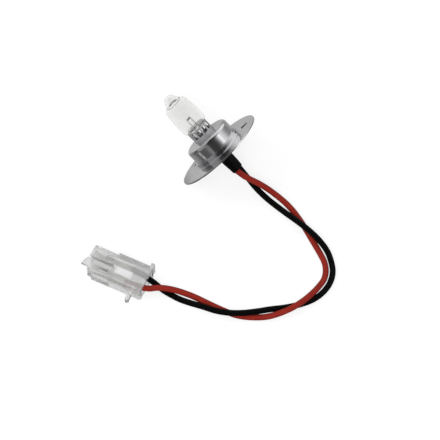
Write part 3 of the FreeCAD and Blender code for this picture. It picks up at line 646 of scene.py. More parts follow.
COPPER = MetalFinish("bare_copper", (0.80, 0.44, 0.28, 1), (0.66, 0.33, 0.20, 1), smooth=0.22, rough=0.4,
                     ring_pitch=0.0002, ring_depth=2e-6)
CEMENT = MineralFinish("filler_cement", (0.80, 0.77, 0.70, 1), (0.68, 0.65, 0.58, 1), roughness=0.85,
                       grain=900.0, depth=6e-5)
CERAMIC = MineralFinish("fired_bush", (0.84, 0.82, 0.77, 1), (0.78, 0.76, 0.70, 1), roughness=0.55,
                        grain=500.0, depth=1e-5)
WOVEN = MineralFinish("woven_liner", (0.80, 0.79, 0.74, 1), (0.66, 0.65, 0.60, 1), roughness=0.8,
                      grain=2200.0, depth=4e-5)
SHRINK = PlasticFinish("shrunk_sleeve", (0.002, 0.002, 0.0021, 1), (0.0032, 0.0032, 0.0032, 1), smooth=0.3,
                       rough=0.45, grain=350.0, depth=1e-6, gloss=0.07)
RED_PVC = PlasticFinish("red_insulation", (0.28, 0.021, 0.012, 1), (0.23, 0.016, 0.010, 1), smooth=0.35,
                        rough=0.5, grain=300.0, depth=5e-7, gloss=0.12)
BLACK_PVC = PlasticFinish("black_insulation", (0.002, 0.002, 0.002, 1), (0.003, 0.003, 0.003, 1), smooth=0.35,
                          rough=0.5, grain=300.0, depth=5e-7, gloss=0.05)


class Arc:
    """A corner of an outline that is rounded with a given radius.

    Args:
        across: Distance of the corner from the axis.
        height: Height of the corner.
        radius: Radius of the round, or zero for a sharp corner.
    """

    flank = 0.05

    def __init__(self, across: float, height: float, radius: float = 0.0) -> None:
        """Place the corner."""
        self.corner = Vector((across, height))
        self.radius = radius

    def trace(self, before: Vector, after: Vector, steps: int) -> list[Vector]:
        """The round as points, with a short straight flank at each end.

        Args:
            before: The corner before this one.
            after: The corner after this one.
            steps: How many steps the round has.

        Returns:
            The points, in order.
        """
        if self.radius <= 0:
            return [self.corner]
        back = (before - self.corner).normalized()
        ahead = (after - self.corner).normalized()
        half = math.acos(max(-1.0, min(1.0, back.dot(ahead)))) / 2
        reach = self.radius / math.tan(half)
        centre = self.corner + (back + ahead).normalized() * (self.radius / math.sin(half))
        start = self.corner + back * reach - centre
        end = self.corner + ahead * reach - centre
        sweep = start.angle_signed(end)
        arc = [centre + Matrix.Rotation(-sweep * step / steps, 2) @ start for step in range(steps + 1)]
        guard = min(self.flank, self.radius / 4)
        return [arc[0] + back * guard] + arc + [arc[-1] + ahead * guard]


def outline(corners: Sequence[Arc], steps: int = 8) -> list[Vector]:
    """A closed outline of radius and height, with its corners rounded.

    Args:
        corners: The corners, in order.
        steps: How many steps each round has.

    Returns:
        The outline's points.
    """
    points: list[Vector] = []
    for number, corner in enumerate(corners):
        following = corners[(number + 1) % len(corners)]
        points += corner.trace(corners[number - 1].corner, following.corner, steps)
    return points


def swung(x: float, y: float, turn: float, height: float) -> Vector:
    """A point at a height, swung about the Z axis."""
    return Vector((x * math.cos(turn) - y * math.sin(turn), x * math.sin(turn) + y * math.cos(turn), height))


def skin(rings: Sequence[Sequence[Vector]], closed: bool, capped: bool) -> bmesh.types.BMesh:
    """Join rings of equal count into one surface.

    Args:
        rings: The rings, in order.
        closed: Whether the last ring joins the first.
        capped: Whether the first and last rings are filled with a fan.

    Returns:
        The surface, with its normals pointing outwards.
    """
    work = bmesh.new()
    loops = [[work.verts.new(point) for point in points] for points in rings]
    pairs = list(zip(loops, loops[1:])) + ([(loops[-1], loops[0])] if closed else [])
    for low, high in pairs:
        for number, vert in enumerate(low):
            following = (number + 1) % len(low)
            work.faces.new((vert, low[following], high[following], high[number]))
    if capped:
        for loop in (loops[0], loops[-1]):
            middle = work.verts.new(sum((vert.co for vert in loop), Vector()) / len(loop))
            for number, vert in enumerate(loop):
                work.faces.new((vert, loop[(number + 1) % len(loop)], middle))
    bmesh.ops.remove_doubles(work, verts=work.verts, dist=SEAM)
    bmesh.ops.recalc_face_normals(work, faces=work.faces)
    return work


def turned(points: Sequence[Vector], segments: int) -> bmesh.types.BMesh:
    """Turn a closed outline of radius and height about the Z axis."""
    angles = [FULL_TURN * step / segments for step in range(segments)]
    return skin([[swung(p.x, 0, angle, p.y) for p in points] for angle in angles], closed=True, capped=False)


class Finisher:
    """Turns local meshes into finished pieces on the lamp's one body."""

    smooth_angle = math.radians(32)
    flat_angle = math.radians(1.0)
    merge_distance = 2e-6

    @classmethod
    def dress(cls, name: str, mesh: bpy.types.Mesh, place: Matrix, material: Material,
              slot: str) -> bpy.types.Object:
        """Place, smooth and dress a mesh, and let it ride on the body.

        Args:
            name: The piece's name.
            mesh: The mesh in its own axes.
            place: The map from those axes to the shared ones, in metres.
            material: The finish.
            slot: The record's material slot; not used.

        Returns:
            The piece, with its place in its mesh.
        """
        mesh.transform(place)
        mesh.materials.clear()
        mesh.materials.append(material)
        mesh.shade_smooth()
        mesh.set_sharp_from_angle(angle=cls.smooth_angle)
        piece = in_scene(bpy.data.objects.new(name, mesh))
        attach(piece, BODY)
        LOG.info("%s: %d faces", name, len(mesh.polygons))
        return piece

    @classmethod
    def copy(cls, name: str, node: str, material: Material, slot: str) -> bpy.types.Object:
        """Make a piece of a node's mesh, merged and with its flat faces made whole.

        Args:
            name: The piece's name.
            node: The node whose shape it takes.
            material: The finish.
            slot: The record's material slot; passed on, and not used.

        Returns:
            The piece.
        """
        work = bmesh.new()
        work.from_mesh(frame["nodes"][node].data)
        bmesh.ops.remove_doubles(work, verts=work.verts, dist=cls.merge_distance)
        bmesh.ops.dissolve_limit(work, angle_limit=cls.flat_angle, verts=work.verts, edges=work.edges)
        return cls.dress(name, to_mesh(name, work), Matrix.Identity(4), material, slot)

    @staticmethod
    def carry(node: str, material: Material) -> None:
        """Give a node of the frame its finish.

        Args:
            node: The node, whose shape is right as it is.
            material: The finish.
        """
        carried = frame["nodes"][node]
        if not carried.material_slots:
            carried.data.materials.append(material)
        for entry in carried.material_slots:
            entry.material = material
        LOG.info("%s: carried over", node)


class Growth:
    """A geometry-node tree with named inputs, run once on a piece and then taken off.

    Args:
        name: The tree's name.
        sizes: Each named input with its value.
        material: The finish that the tree sets.
    """

    kinds = {int: "NodeSocketInt", float: FLOAT}
    helix_steps = 24
    weld = 0.001

    def __init__(self, name: str, sizes: dict[str, int | float], material: Material) -> None:
        """Make the tree, with its named inputs and both ends."""
        self.sizes = sizes
        self.material = material
        self.tree = bpy.data.node_groups.new(name, "GeometryNodeTree")
        face = self.tree.interface
        face.new_socket("Geometry", in_out="INPUT", socket_type="NodeSocketGeometry")
        self.identifiers = {
            label: face.new_socket(label, in_out="INPUT", socket_type=self.kinds[type(value)]).identifier
            for label, value in sizes.items()}
        face.new_socket("Geometry", in_out="OUTPUT", socket_type="NodeSocketGeometry")
        self.wiring = Wiring(self.tree)
        self.inlet = self.wiring.add("NodeGroupInput")
        self.outlet = self.wiring.add("NodeGroupOutput")

    def size(self, label: str) -> Socket:
        """The socket of a named input."""
        return self.inlet.outputs[label]

    def bar(self, sides: tuple[Socket, Socket], corner: Socket, steps: int, shift: Socket,
            tilt: float = 0.0) -> Socket:
        """A bar with rounded edges, as long as the input Depth, that cuts one opening.

        Args:
            sides: Length and width of the opening.
            corner: Radius of its corners.
            steps: How many points each corner has.
            shift: Where the bar starts.
            tilt: Turn of the bar about the Y axis.

        Returns:
            The bar.
        """
        add = self.wiring.add
        shape = add("GeometryNodeCurvePrimitiveQuadrilateral", {"Width": sides[0], "Height": sides[1]})
        rounded = add("GeometryNodeFilletCurve", {"Curve": shape.outputs[0], "Radius": corner,
                                                  "Count": steps}, mode="POLY")
        face = add("GeometryNodeFillCurve", {0: rounded.outputs[0]}, mode="NGONS")
        solid = add("GeometryNodeExtrudeMesh", {"Mesh": face.outputs[0], "Offset Scale": self.size("Depth"),
                                                "Individual": False})
        lid = add("GeometryNodeFlipFaces", {"Mesh": face.outputs[0]})
        block = self.wiring.join(solid.outputs[0], lid.outputs[0])
        moved = add("GeometryNodeTransform", {"Geometry": block, "Translation": shift,
                                              "Rotation": (0.0, tilt, 0.0)})
        return add("GeometryNodeMergeByDistance", {"Geometry": moved.outputs[0],
                                                   "Distance": self.weld}).outputs[0]

    def pierce(self, bar: Socket, count: object, step: Socket) -> None:
        """Cut a ring of openings in the base, from the input First on, and end the tree.

        Args:
            bar: What cuts one opening.
            count: How many openings there are.
            step: Turn from one opening to the next.
        """
        cutters = self.wiring.spokes(bar, count, step, self.size("First"))
        pierced = self.wiring.add("GeometryNodeMeshBoolean", operation="DIFFERENCE")
        self.wiring.link(self.inlet.outputs["Geometry"], pierced.inputs[0])
        self.wiring.link(cutters, pierced.inputs[1])
        self.close(pierced.outputs[0])

    def helix(self, turns: Socket, radius: Socket, length: Socket) -> Socket:
        """A round helix up the Z axis.

        Args:
            turns: How often it goes round.
            radius: Its radius.
            length: Its height.

        Returns:
            The helix, as a curve.
        """
        return self.wiring.add("GeometryNodeCurveSpiral", {
            "Resolution": self.helix_steps, "Rotations": turns, "Start Radius": radius, "End Radius": radius,
            "Height": length}).outputs[0]

    def rod(self, path: Socket, radius: Socket, sides: int) -> None:
        """Draw round wire along a path, and end the tree.

        Args:
            path: The wire's middle line.
            radius: The wire's radius.
            sides: How many sides its section has.
        """
        section = self.wiring.add("GeometryNodeCurvePrimitiveCircle", {"Resolution": sides, "Radius": radius})
        drawn = self.wiring.add("GeometryNodeCurveToMesh", {
            "Curve": path, "Profile Curve": section.outputs[0], "Fill Caps": True})
        self.close(drawn.outputs[0])

    def close(self, shape: Socket) -> None:
        """End the tree in real geometry with its finish.

        Args:
            shape: What the tree has made.
        """
        real = self.wiring.add("GeometryNodeRealizeInstances", {"Geometry": shape})
        dressed = self.wiring.add("GeometryNodeSetMaterial", {"Geometry": real.outputs[0],
                                                              "Material": self.material})
        self.wiring.link(dressed.outputs[0], self.outlet.inputs[0])

    def run(self, base: bmesh.types.BMesh | None = None) -> bpy.types.Mesh:
        """Apply the tree.

        Args:
            base: The mesh that it is applied to, if any. It is used up.

        Returns:
            The result as a plain mesh.
        """
        seed = to_mesh("seed", bmesh.new() if base is None else base)
        holder = in_scene(bpy.data.objects.new("holder", seed))
        modifier = holder.modifiers.new("growth", "NODES")
        modifier.node_group = self.tree
        for label, value in self.sizes.items():
            modifier[self.identifiers[label]] = value
        graph = bpy.context.evaluated_depsgraph_get()
        mesh = bpy.data.meshes.new_from_object(holder.evaluated_get(graph), depsgraph=graph)
        holder.modifiers.remove(modifier)
        bpy.data.objects.remove(holder)
        bpy.data.meshes.remove(seed)
        return mesh


@dataclass
class LampPart:
    """What each sub-assembly of the lamp has: the lamp's own axes and a finish."""

    lamp: LocalAxes
    material: Material

    def piece(self, name: str, work: bmesh.types.BMesh, slot: str) -> bpy.types.Object:
        """Finish a mesh that is drawn in the lamp's own axes. It is used up."""
        return Finisher.dress(name, to_mesh(name, work), self.lamp.matrix, self.material, slot)

    def grown(self, name: str, mesh: bpy.types.Mesh, slot: str) -> bpy.types.Object:
        """Finish a mesh that a tree has grown in the lamp's own axes."""
        return Finisher.dress(name, mesh, self.lamp.matrix, self.material, slot)


@dataclass
class MountingFlange(LampPart):
    """The pressed flange with its turned-up neck and two locating slots."""

    radius: float = 20.0
    sheet: float = 0.7
    edge_round: float = 0.16
    neck_bore: float = 10.55
    neck_height: float = 2.1
    neck_root: float = 0.5
    neck_mouth: float = 0.3
    neck_outer_edge: float = 0.25
    neck_inner_edge: float = 0.1
    slot_inner: float = 11.8
    slot_outer: float = 16.4
    slot_width: float = 2.8
    slot_end: float = 0.499
    slot_end_steps: int = 12
    slot_turns: tuple[float, float] = (237.3, 22.3)
    cutter_sheets: float = 4.0
    segments: int = 192

    def blank(self) -> bmesh.types.BMesh:
        """The turned sheet before the slots are pierced."""
        neck = self.neck_bore + self.sheet
        corners = (
            Arc(self.neck_bore, -self.sheet, self.neck_mouth), Arc(self.radius, -self.sheet, self.edge_round),
            Arc(self.radius, 0, self.edge_round), Arc(neck, 0, self.neck_root),
            Arc(neck, self.neck_height, self.neck_outer_edge),
            Arc(self.neck_bore, self.neck_height, self.neck_inner_edge))
        return turned(outline(corners), self.segments)

    def build(self) -> None:
        """Pierce the slots and put the flange in its place."""
        first, second = (math.radians(turn) for turn in self.slot_turns)
        growth = Growth("Locating slots", {
            "Inner": self.slot_inner, "Outer": self.slot_outer, "Width": self.slot_width,
            "Depth": self.sheet * self.cutter_sheets, "First": first,
            "Spread": second - first}, self.material)
        size, maths = growth.size, growth.wiring.maths
        length = maths("SUBTRACT", size("Outer"), size("Inner"))
        middle = maths("MULTIPLY", maths("ADD", size("Outer"), size("Inner")), 0.5)
        drop = maths("MULTIPLY", size("Depth"), -0.5)
        bar = growth.bar((length, size("Width")), maths("MULTIPLY", size("Width"), self.slot_end),
                         self.slot_end_steps, growth.wiring.xyz(X=middle, Z=drop))
        growth.pierce(bar, len(self.slot_turns), size("Spread"))
        piece = self.grown("pressed_flange", growth.run(self.blank()), "polished_metal")
        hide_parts("mounting_flange")


@dataclass
class LampCup(LampPart):
    """The drawn cup that stands in the flange's neck."""

    radius: float = 10.5
    wall: float = 0.6
    height: float = 8.35
    fall: float = 0.35
    corner: float = 1.5
    back: float = -0.7
    back_round: float = 0.1
    hole: float = 4.95
    hole_round: float = 0.12
    hole_inner_round: float = 0.05
    corner_steps: int = 12
    segments: int = 192

    def build(self) -> None:
        """Turn the shell."""
        bore = self.radius - self.wall
        edge = self.height - self.fall
        ceiling = edge - self.wall
        corners = (
            Arc(bore, self.back, self.back_round), Arc(self.radius, self.back, self.back_round),
            Arc(self.radius, edge, self.corner), Arc(self.hole, self.height, self.hole_round),
            Arc(self.hole, ceiling, self.hole_inner_round), Arc(bore, ceiling, self.corner - self.wall))
        shell = turned(outline(corners, self.corner_steps), self.segments)
        piece = self.piece("drawn_cup", shell, "polished_metal")
        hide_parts("lamp_cup")


@dataclass
class WindowedCollar(LampPart):
    """The collar round the capsule's foot, with a ring of windows."""

    radius: float = 4.9
    wall: float = 0.4
    top: float = 13.4
    top_round: float = 0.12
    lip: float = 1.5
    lip_top: float = 7.4
    lip_root: float = 0.02
    lip_round: float = 0.05
    mouth_round: float = 0.3
    window_width: float = 2.0
    window_height: float = 2.9
    window_base: float = 9.9
    window_corner: float = 0.3
    window_corner_steps: int = 5
    window_count: int = 11
    window_turn: float = 174.8
    cutter_start: float = 0.5
    cutter_length: float = 1.5
    segments: int = 176

    def tube(self) -> bmesh.types.BMesh:
        """The drawn tube with its lip, before the windows are pierced."""
        bore = self.radius - self.wall
        lip = self.radius + self.lip
        lip_base = self.lip_top - self.wall
        corners = (
            Arc(bore, lip_base, self.mouth_round), Arc(lip, lip_base, self.lip_round),
            Arc(lip, self.lip_top, self.lip_round), Arc(self.radius, self.lip_top, self.lip_root),
            Arc(self.radius, self.top, self.top_round), Arc(bore, self.top, self.top_round))
        return turned(outline(corners), self.segments)

    def build(self) -> None:
        """Pierce the windows and put the collar in its place."""
        growth = Growth("Collar windows", {
            "Width": self.window_width, "Height": self.window_height, "Corner": self.window_corner,
            "Middle": self.window_base + self.window_height / 2, "Start": self.radius * self.cutter_start,
            "Depth": self.radius * self.cutter_length, "First": math.radians(self.window_turn),
            "Windows": self.window_count}, self.material)
        size = growth.size
        bar = growth.bar((size("Height"), size("Width")), size("Corner"), self.window_corner_steps,
                         growth.wiring.xyz(X=size("Start"), Z=size("Middle")), tilt=QUARTER_TURN)
        growth.pierce(bar, size("Windows"), growth.wiring.maths("DIVIDE", FULL_TURN, size("Windows")))
        piece = self.grown("pierced_collar", growth.run(self.tube()), "collar_metal")
        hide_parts("windowed_collar")


@dataclass
class Section:
    """One cross-section of a lofted piece: two half widths, a height and a squareness."""

    half_x: float
    half_y: float
    height: float
    squareness: float = 2.0

    @classmethod
    def round(cls, radius: float, height: float) -> "Section":
        """A round section."""
        return cls(radius, radius, height)

    def points(self, count: int) -> list[Vector]:
        """The section's outline, evenly spread in angle.

        Args:
            count: How many points it has.

        Returns:
            The points, in order.
        """
        power = 2.0 / self.squareness
        result = []
        for step in range(count):
            angle = FULL_TURN * step / count
            cosine, sine = math.cos(angle), math.sin(angle)
            result.append(Vector((self.half_x * math.copysign(abs(cosine) ** power, cosine),
                                  self.half_y * math.copysign(abs(sine) ** power, sine), self.height)))
        return result


def bend(core: float, level: float, across: float, rise: float, degrees: Sequence[int]) -> list[Section]:
    """Round sections that follow a quarter of an ellipse.

    Args:
        core: Radius of the ellipse's middle.
        level: Height of the ellipse's middle.
        across: Its half width.
        rise: Its half height, below zero where it bends down.
        degrees: Where the sections lie on it, from its widest place.

    Returns:
        The sections, in order.
    """
    angles = [math.radians(angle) for angle in degrees]
    return [Section.round(core + across * math.cos(turn), level + rise * math.sin(turn)) for turn in angles]


@dataclass(frozen=True)
class GlassFace:
    """One face of the capsule's glass: how far inside it lies, and where its sections stand.

    Args:
        wall: How far the barrel's face is inside the outer one.
        tip_wall: How far the tip's face is inside the outer one.
        foot: Degrees down the foot's round.
        barrel_steps: Steps up the barrel.
        crown: Degrees up the shoulder's round.
        cone: Shares up the tip's conical root.
        dome: Degrees up the tip's dome.
        pole_radius: Radius of the last section, which is filled.
    """

    wall: float
    tip_wall: float
    foot: range
    barrel_steps: int
    crown: range
    cone: tuple[float, ...]
    dome: range
    pole_radius: float


@dataclass
class QuartzCapsule(LampPart):
    """The blown capsule: barrel, exhaust tip and pinch, with its gas space inside.

    A pinch station adds to both half sizes of the pinch, at a height and with a squareness.
    """

    outside: GlassFace = GlassFace(0.0, 0.0, range(66, -1, -6), 12, range(0, 85, 7),
                                   (0.07, 0.12, 0.25, 0.45, 0.7, 0.88), range(0, 90, 8), 0.08)
    inside: GlassFace = GlassFace(0.8, 0.7, range(90, -1, -9), 10, range(0, 80, 8),
                                  (0.0, 0.25, 0.5, 0.75, 1.0), range(12, 90, 12), 0.05)
    radius: float = 5.82
    swell: float = 0.12
    narrowing: float = 1.0
    waist: float = 18.5
    floor: float = 13.4
    shoulder: float = 27.8
    tip: float = 31.5
    lower_round: float = 1.6
    upper_round: float = 2.6
    tip_base: float = 3.4
    tip_radius: float = 2.3
    tip_neck: float = 2.1
    tip_curve: float = 1.15
    pole_gap: float = 0.002
    gas_middle: float = 0.1
    gas_floor_share: float = 0.6
    pinch_width: float = 7.0
    pinch_depth: float = 2.6
    pinch_stations: tuple[tuple[float, float, float, float], ...] = (
        (-0.2, -0.25, 3.6, 8.0), (0.0, 0.0, 3.8, 8.0), (0.0, 0.0, 6.0, 8.0), (-0.12, 0.0, 8.2, 8.0),
        (0.0, 0.0, 10.6, 8.0), (0.15, 0.02, 12.0, 5.0), (0.75, 0.1, 12.8, 3.0), (1.7, 0.25, 13.3, 2.3))
    segments: int = 128

    def barrel(self, inset: float, height: float) -> float:
        """The barrel's radius at a height: widest at the waist, narrower towards the tip.

        Args:
            inset: How far inside the outer face.
            height: The height.

        Returns:
            The radius.
        """
        below = max(0.0, self.waist - height) / (self.waist - self.floor)
        above = max(0.0, height - self.waist) / (self.shoulder - self.waist)
        return self.radius - inset - self.swell * below ** 2 - self.narrowing * above ** 2

    def side(self, inset: float, low: float, high: float, steps: int) -> list[Section]:
        """The barrel's sections between two heights.

        Args:
            inset: How far inside the outer face.
            low: The lower height.
            high: The upper height.
            steps: How many steps lie between them.

        Returns:
            The sections inside both ends, in order.
        """
        heights = [low + (high - low) * step / steps for step in range(1, steps)]
        return [Section.round(self.barrel(inset, height), height) for height in heights]

    def cone(self, inset: float, shares: Sequence[float]) -> list[Section]:
        """The conical root of the tip, at shares of its height.

        Args:
            inset: How far inside the outer face.
            shares: Where the sections lie, from 0 to 1.

        Returns:
            The sections, in order.
        """
        taper = self.tip_radius - self.tip_base
        return [Section.round(self.tip_base + taper * share ** self.tip_curve - inset,
                              self.shoulder + self.tip_neck * share) for share in shares]

    def shell(self, face: GlassFace) -> list[Section]:
        """The sections of the barrel and the tip on one face of the glass.

        Args:
            face: The face.

        Returns:
            The sections, from the foot to the end of the tip.
        """
        centre = self.floor + self.lower_round
        top = self.shoulder - self.upper_round
        neck = self.shoulder + self.tip_neck
        dome = self.tip - neck - face.tip_wall
        low, high = self.lower_round - face.wall, self.upper_round - face.wall
        sections = bend(self.barrel(face.wall, centre) - low, centre, low, -low, face.foot)
        sections += self.side(face.wall, centre, top, face.barrel_steps)
        crown = bend(self.barrel(face.wall, top) - high, top, high, high, face.crown)
        sections += [section for section in crown if section.half_x > self.tip_base - face.tip_wall]
        sections += self.cone(face.tip_wall, face.cone)
        sections += bend(0, neck, self.tip_radius - face.tip_wall, dome, face.dome)
        return sections + [Section.round(face.pole_radius, neck + dome - self.pole_gap)]

    def outer(self) -> list[Section]:
        """The outer sections, from the pinch's foot to the tip."""
        half_x, half_y = self.pinch_depth / 2, self.pinch_width / 2
        pinch = [Section(half_x + deeper, half_y + wider, height, squareness)
                 for deeper, wider, height, squareness in self.pinch_stations]
        return pinch + self.shell(self.outside)

    def inner(self) -> list[Section]:
        """The gas space's sections, from the middle of its floor to the end of the hollow tip."""
        sections = self.shell(self.inside)
        edge, floor = sections[0].half_x, sections[0].height
        radii = (self.gas_middle, edge * self.gas_floor_share)
        return [Section.round(radius, floor) for radius in radii] + sections

    def build(self) -> None:
        """Skin the glass and its gas space as one piece."""
        glass, space = (skin([section.points(self.segments) for section in sections], False, True)
                        for sections in (self.outer(), self.inner()))
        bmesh.ops.reverse_faces(space, faces=space.faces)
        glass.from_mesh(to_mesh("gas_space", space))
        piece = self.piece("blown_capsule", glass, "quartz")
        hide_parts("quartz_capsule")


@dataclass
class Filament(LampPart):
    """The coil across its two posts."""

    height: float = 18.3
    coil_radius: float = 0.34
    wire: float = 0.07
    wire_sides: int = 8
    span: float = 1.42
    turns: float = 6.0

    def build(self) -> None:
        """Wind the coil."""
        growth = Growth("Filament coil", {
            "Turns": self.turns, "Radius": self.coil_radius, "Span": self.span, "Wire": self.wire,
            "Height": self.height}, self.material)
        wiring, size = growth.wiring, growth.size
        shift = wiring.xyz(Y=wiring.maths("MULTIPLY", size("Span"), 0.5), Z=size("Height"))
        laid = wiring.add("GeometryNodeTransform", {
            "Geometry": growth.helix(size("Turns"), size("Radius"), size("Span")), "Translation": shift,
            "Rotation": (QUARTER_TURN, 0.0, 0.0)})
        growth.rod(laid.outputs[0], size("Wire"), self.wire_sides)
        coil = self.grown("wound_filament", growth.run(), "tungsten")
        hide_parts("tungsten_filament")


@dataclass
class FilamentPosts(LampPart):
    """The two posts of drawn wire that hold the coil, flattened where they grip its ends."""

    offset: float = 1.0
    radius: float = 0.19
    sides: int = 20
    foot: float = 10.4
    grip: float = Filament.height
    top: float = 18.9
    flat_start: float = 0.9
    flat_full: float = 0.45
    flat_end: float = 0.35
    flat_thin: float = 0.6
    flat_wide: float = 1.35
    point: float = 0.08
    point_share: float = 0.7

    def build(self) -> None:
        """Form both posts."""
        full = self.radius
        thin, wide = full * self.flat_thin, full * self.flat_wide
        stations = (
            (full, full, self.foot), (full, full, self.grip - self.flat_start),
            (wide, thin, self.grip - self.flat_full), (wide, thin, self.grip + self.flat_end),
            (full, thin, self.top - self.point), (full * self.point_share, thin * self.point_share, self.top))
        for side in Side:
            centre = Vector((0, side.value * self.offset, 0))
            rings = [[centre + point for point in Section(*station).points(self.sides)]
                     for station in stations]
            piece = self.piece(f"formed_post_{side.word}", skin(rings, False, True), "tungsten")
            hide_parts(f"filament_post_{side.word}")


@dataclass
class ShrinkSleeve(LampPart):
    """The shrunk sleeve over both splices, drawn in round the pair of wires.

    Each fold has its share of the crease, its count round the sleeve, its run along it and its start.
    """

    back: float = -0.7
    length: float = 11.0
    wall: float = 0.3
    root_half: float = 3.05
    root_rise: float = 2.85
    end_half: float = 2.95
    end_rise: float = 2.22
    twist: float = 24.0
    late: float = 2.3
    waist: float = 0.10
    waist_power: int = 6
    crease: float = 0.05
    folds: tuple[tuple[float, int, int, float], ...] = ((0.6, 5, 7, 0.0), (0.4, 11, -9, 1.0))
    stations: int = 44
    segments: int = 96

    def section(self, share: float, inset: float) -> list[Vector]:
        """The sleeve's outline at a share of its length.

        Args:
            share: Where along the sleeve, from 0 to 1.
            inset: How far inside the outer face.

        Returns:
            The outline's points.
        """
        ease = share * share * (3 - 2 * share)
        half = self.root_half + (self.end_half - self.root_half) * ease - inset
        rise = self.root_rise + (self.end_rise - self.root_rise) * ease - inset
        turn = math.radians(self.twist * share ** self.late)
        crease = self.crease * math.sin(math.pi * share)
        points = []
        for step in range(self.segments):
            angle = FULL_TURN * step / self.segments
            fold = crease * sum(part * math.sin(count * angle + run * share + start)
                                for part, count, run, start in self.folds)
            pinch = 1 - self.waist * ease * abs(math.cos(angle)) ** self.waist_power
            points.append(swung((rise + fold) * pinch * math.cos(angle), (half + fold) * math.sin(angle),
                                turn, self.back - self.length * share))
        return points

    def build(self) -> None:
        """Skin the outside, the rolled end and the inside as one closed wall."""
        shares = [step / self.stations for step in range(self.stations + 1)]
        rings = [self.section(share, 0.0) for share in shares]
        rings += [self.section(share, self.wall) for share in reversed(shares)]
        piece = self.piece("shrunk_sleeve", skin(rings, True, False), "shrink_black")
        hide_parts("heat_shrink_sleeve")


@dataclass
class CopperStrands:
    """A twisted bundle of bare copper, one strand with a ring of others round it."""

    strand: float = 0.115
    strand_sides: int = 10
    lay: float = 5.0
    outer_count: int = 6

    def build(self, name: str, length: float, axes: LocalAxes, copper: Material) -> bpy.types.Object:
        """Twist one bundle.

        Args:
            name: The piece's name.
            length: The bundle's length.
            axes: Axes whose Z runs along the bundle, from its start.
            copper: The finish.

        Returns:
            The piece.
        """
        growth = Growth("Copper strands", {
            "Length": length, "Strand": self.strand, "Turns": length / self.lay,
            "Outer": self.outer_count}, copper)
        wiring, size = growth.wiring, growth.size
        helix = growth.helix(size("Turns"), wiring.maths("MULTIPLY", size("Strand"), 2.0), size("Length"))
        ringed = wiring.spokes(helix, size("Outer"), wiring.maths("DIVIDE", FULL_TURN, size("Outer")))
        core = wiring.add("GeometryNodeCurvePrimitiveLine", {"End": wiring.xyz(Z=size("Length"))})
        growth.rod(wiring.join(ringed, core.outputs[0]), size("Strand"), self.strand_sides)
        return Finisher.dress(name, growth.run(), axes.matrix, copper, "copper")


@dataclass
class Plug:
    """The moulded two-way plug with its crimped contacts."""

    pitch: float = 6.35
    reach: float = 24.9
    height: float = 4.0
    edge: float = 0.28
    edge_steps: int = 3
    edge_angle: float = 50.0
    crimp_start: float = 8.6
    crimp_length: float = 3.6
    bare: float = 0.2

    def axes(self) -> LocalAxes:
        """The plug's own axes."""
        return plug_axes(self.pitch, self.reach, self.height)

    def housing(self, material: Material) -> bpy.types.Object:
        """The housing, with the small rounds that moulding gives its edges.

        Args:
            material: The housing's finish.

        Returns:
            The housing.
        """
        piece = Finisher.copy("moulded_housing", "plug_housing", material, "clear_nylon")
        bevel = piece.modifiers.new("moulded_edges", "BEVEL")
        bevel.width = self.edge * MM
        bevel.segments = self.edge_steps
        bevel.limit_method = "ANGLE"
        bevel.angle_limit = math.radians(self.edge_angle)
        bevel.use_clamp_overlap = True
        bevel.harden_normals = True
        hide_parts("plug_housing")
        return piece

    def contacts(self, tin: Material, copper: Material) -> dict[Side, list[bpy.types.Object]]:
        """Both contacts and the stripped wire ends in them.

        Args:
            tin: The contacts' finish.
            copper: The strands' finish.

        Returns:
            The contact and the strands of each side.
        """
        pieces = {}
        axes = self.axes()
        along = axes.rotation @ Vector((1, 0, 0))
        for side in Side:
            contact = Finisher.copy(f"crimped_contact_{side.word}", f"terminal_{side.word}", tin,
                                    "tinned_brass")
            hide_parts(f"terminal_{side.word}")
            start = axes.point(self.crimp_start - self.bare, side.value * self.pitch / 2, self.height)
            strands = CopperStrands().build(f"stripped_strands_{side.word}", self.crimp_length + self.bare,
                                            LocalAxes(start, along, Vector((0, 0, 1))), copper)
            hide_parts(f"stripped_end_{side.word}")
            pieces[side] = [contact, strands]
        return pieces


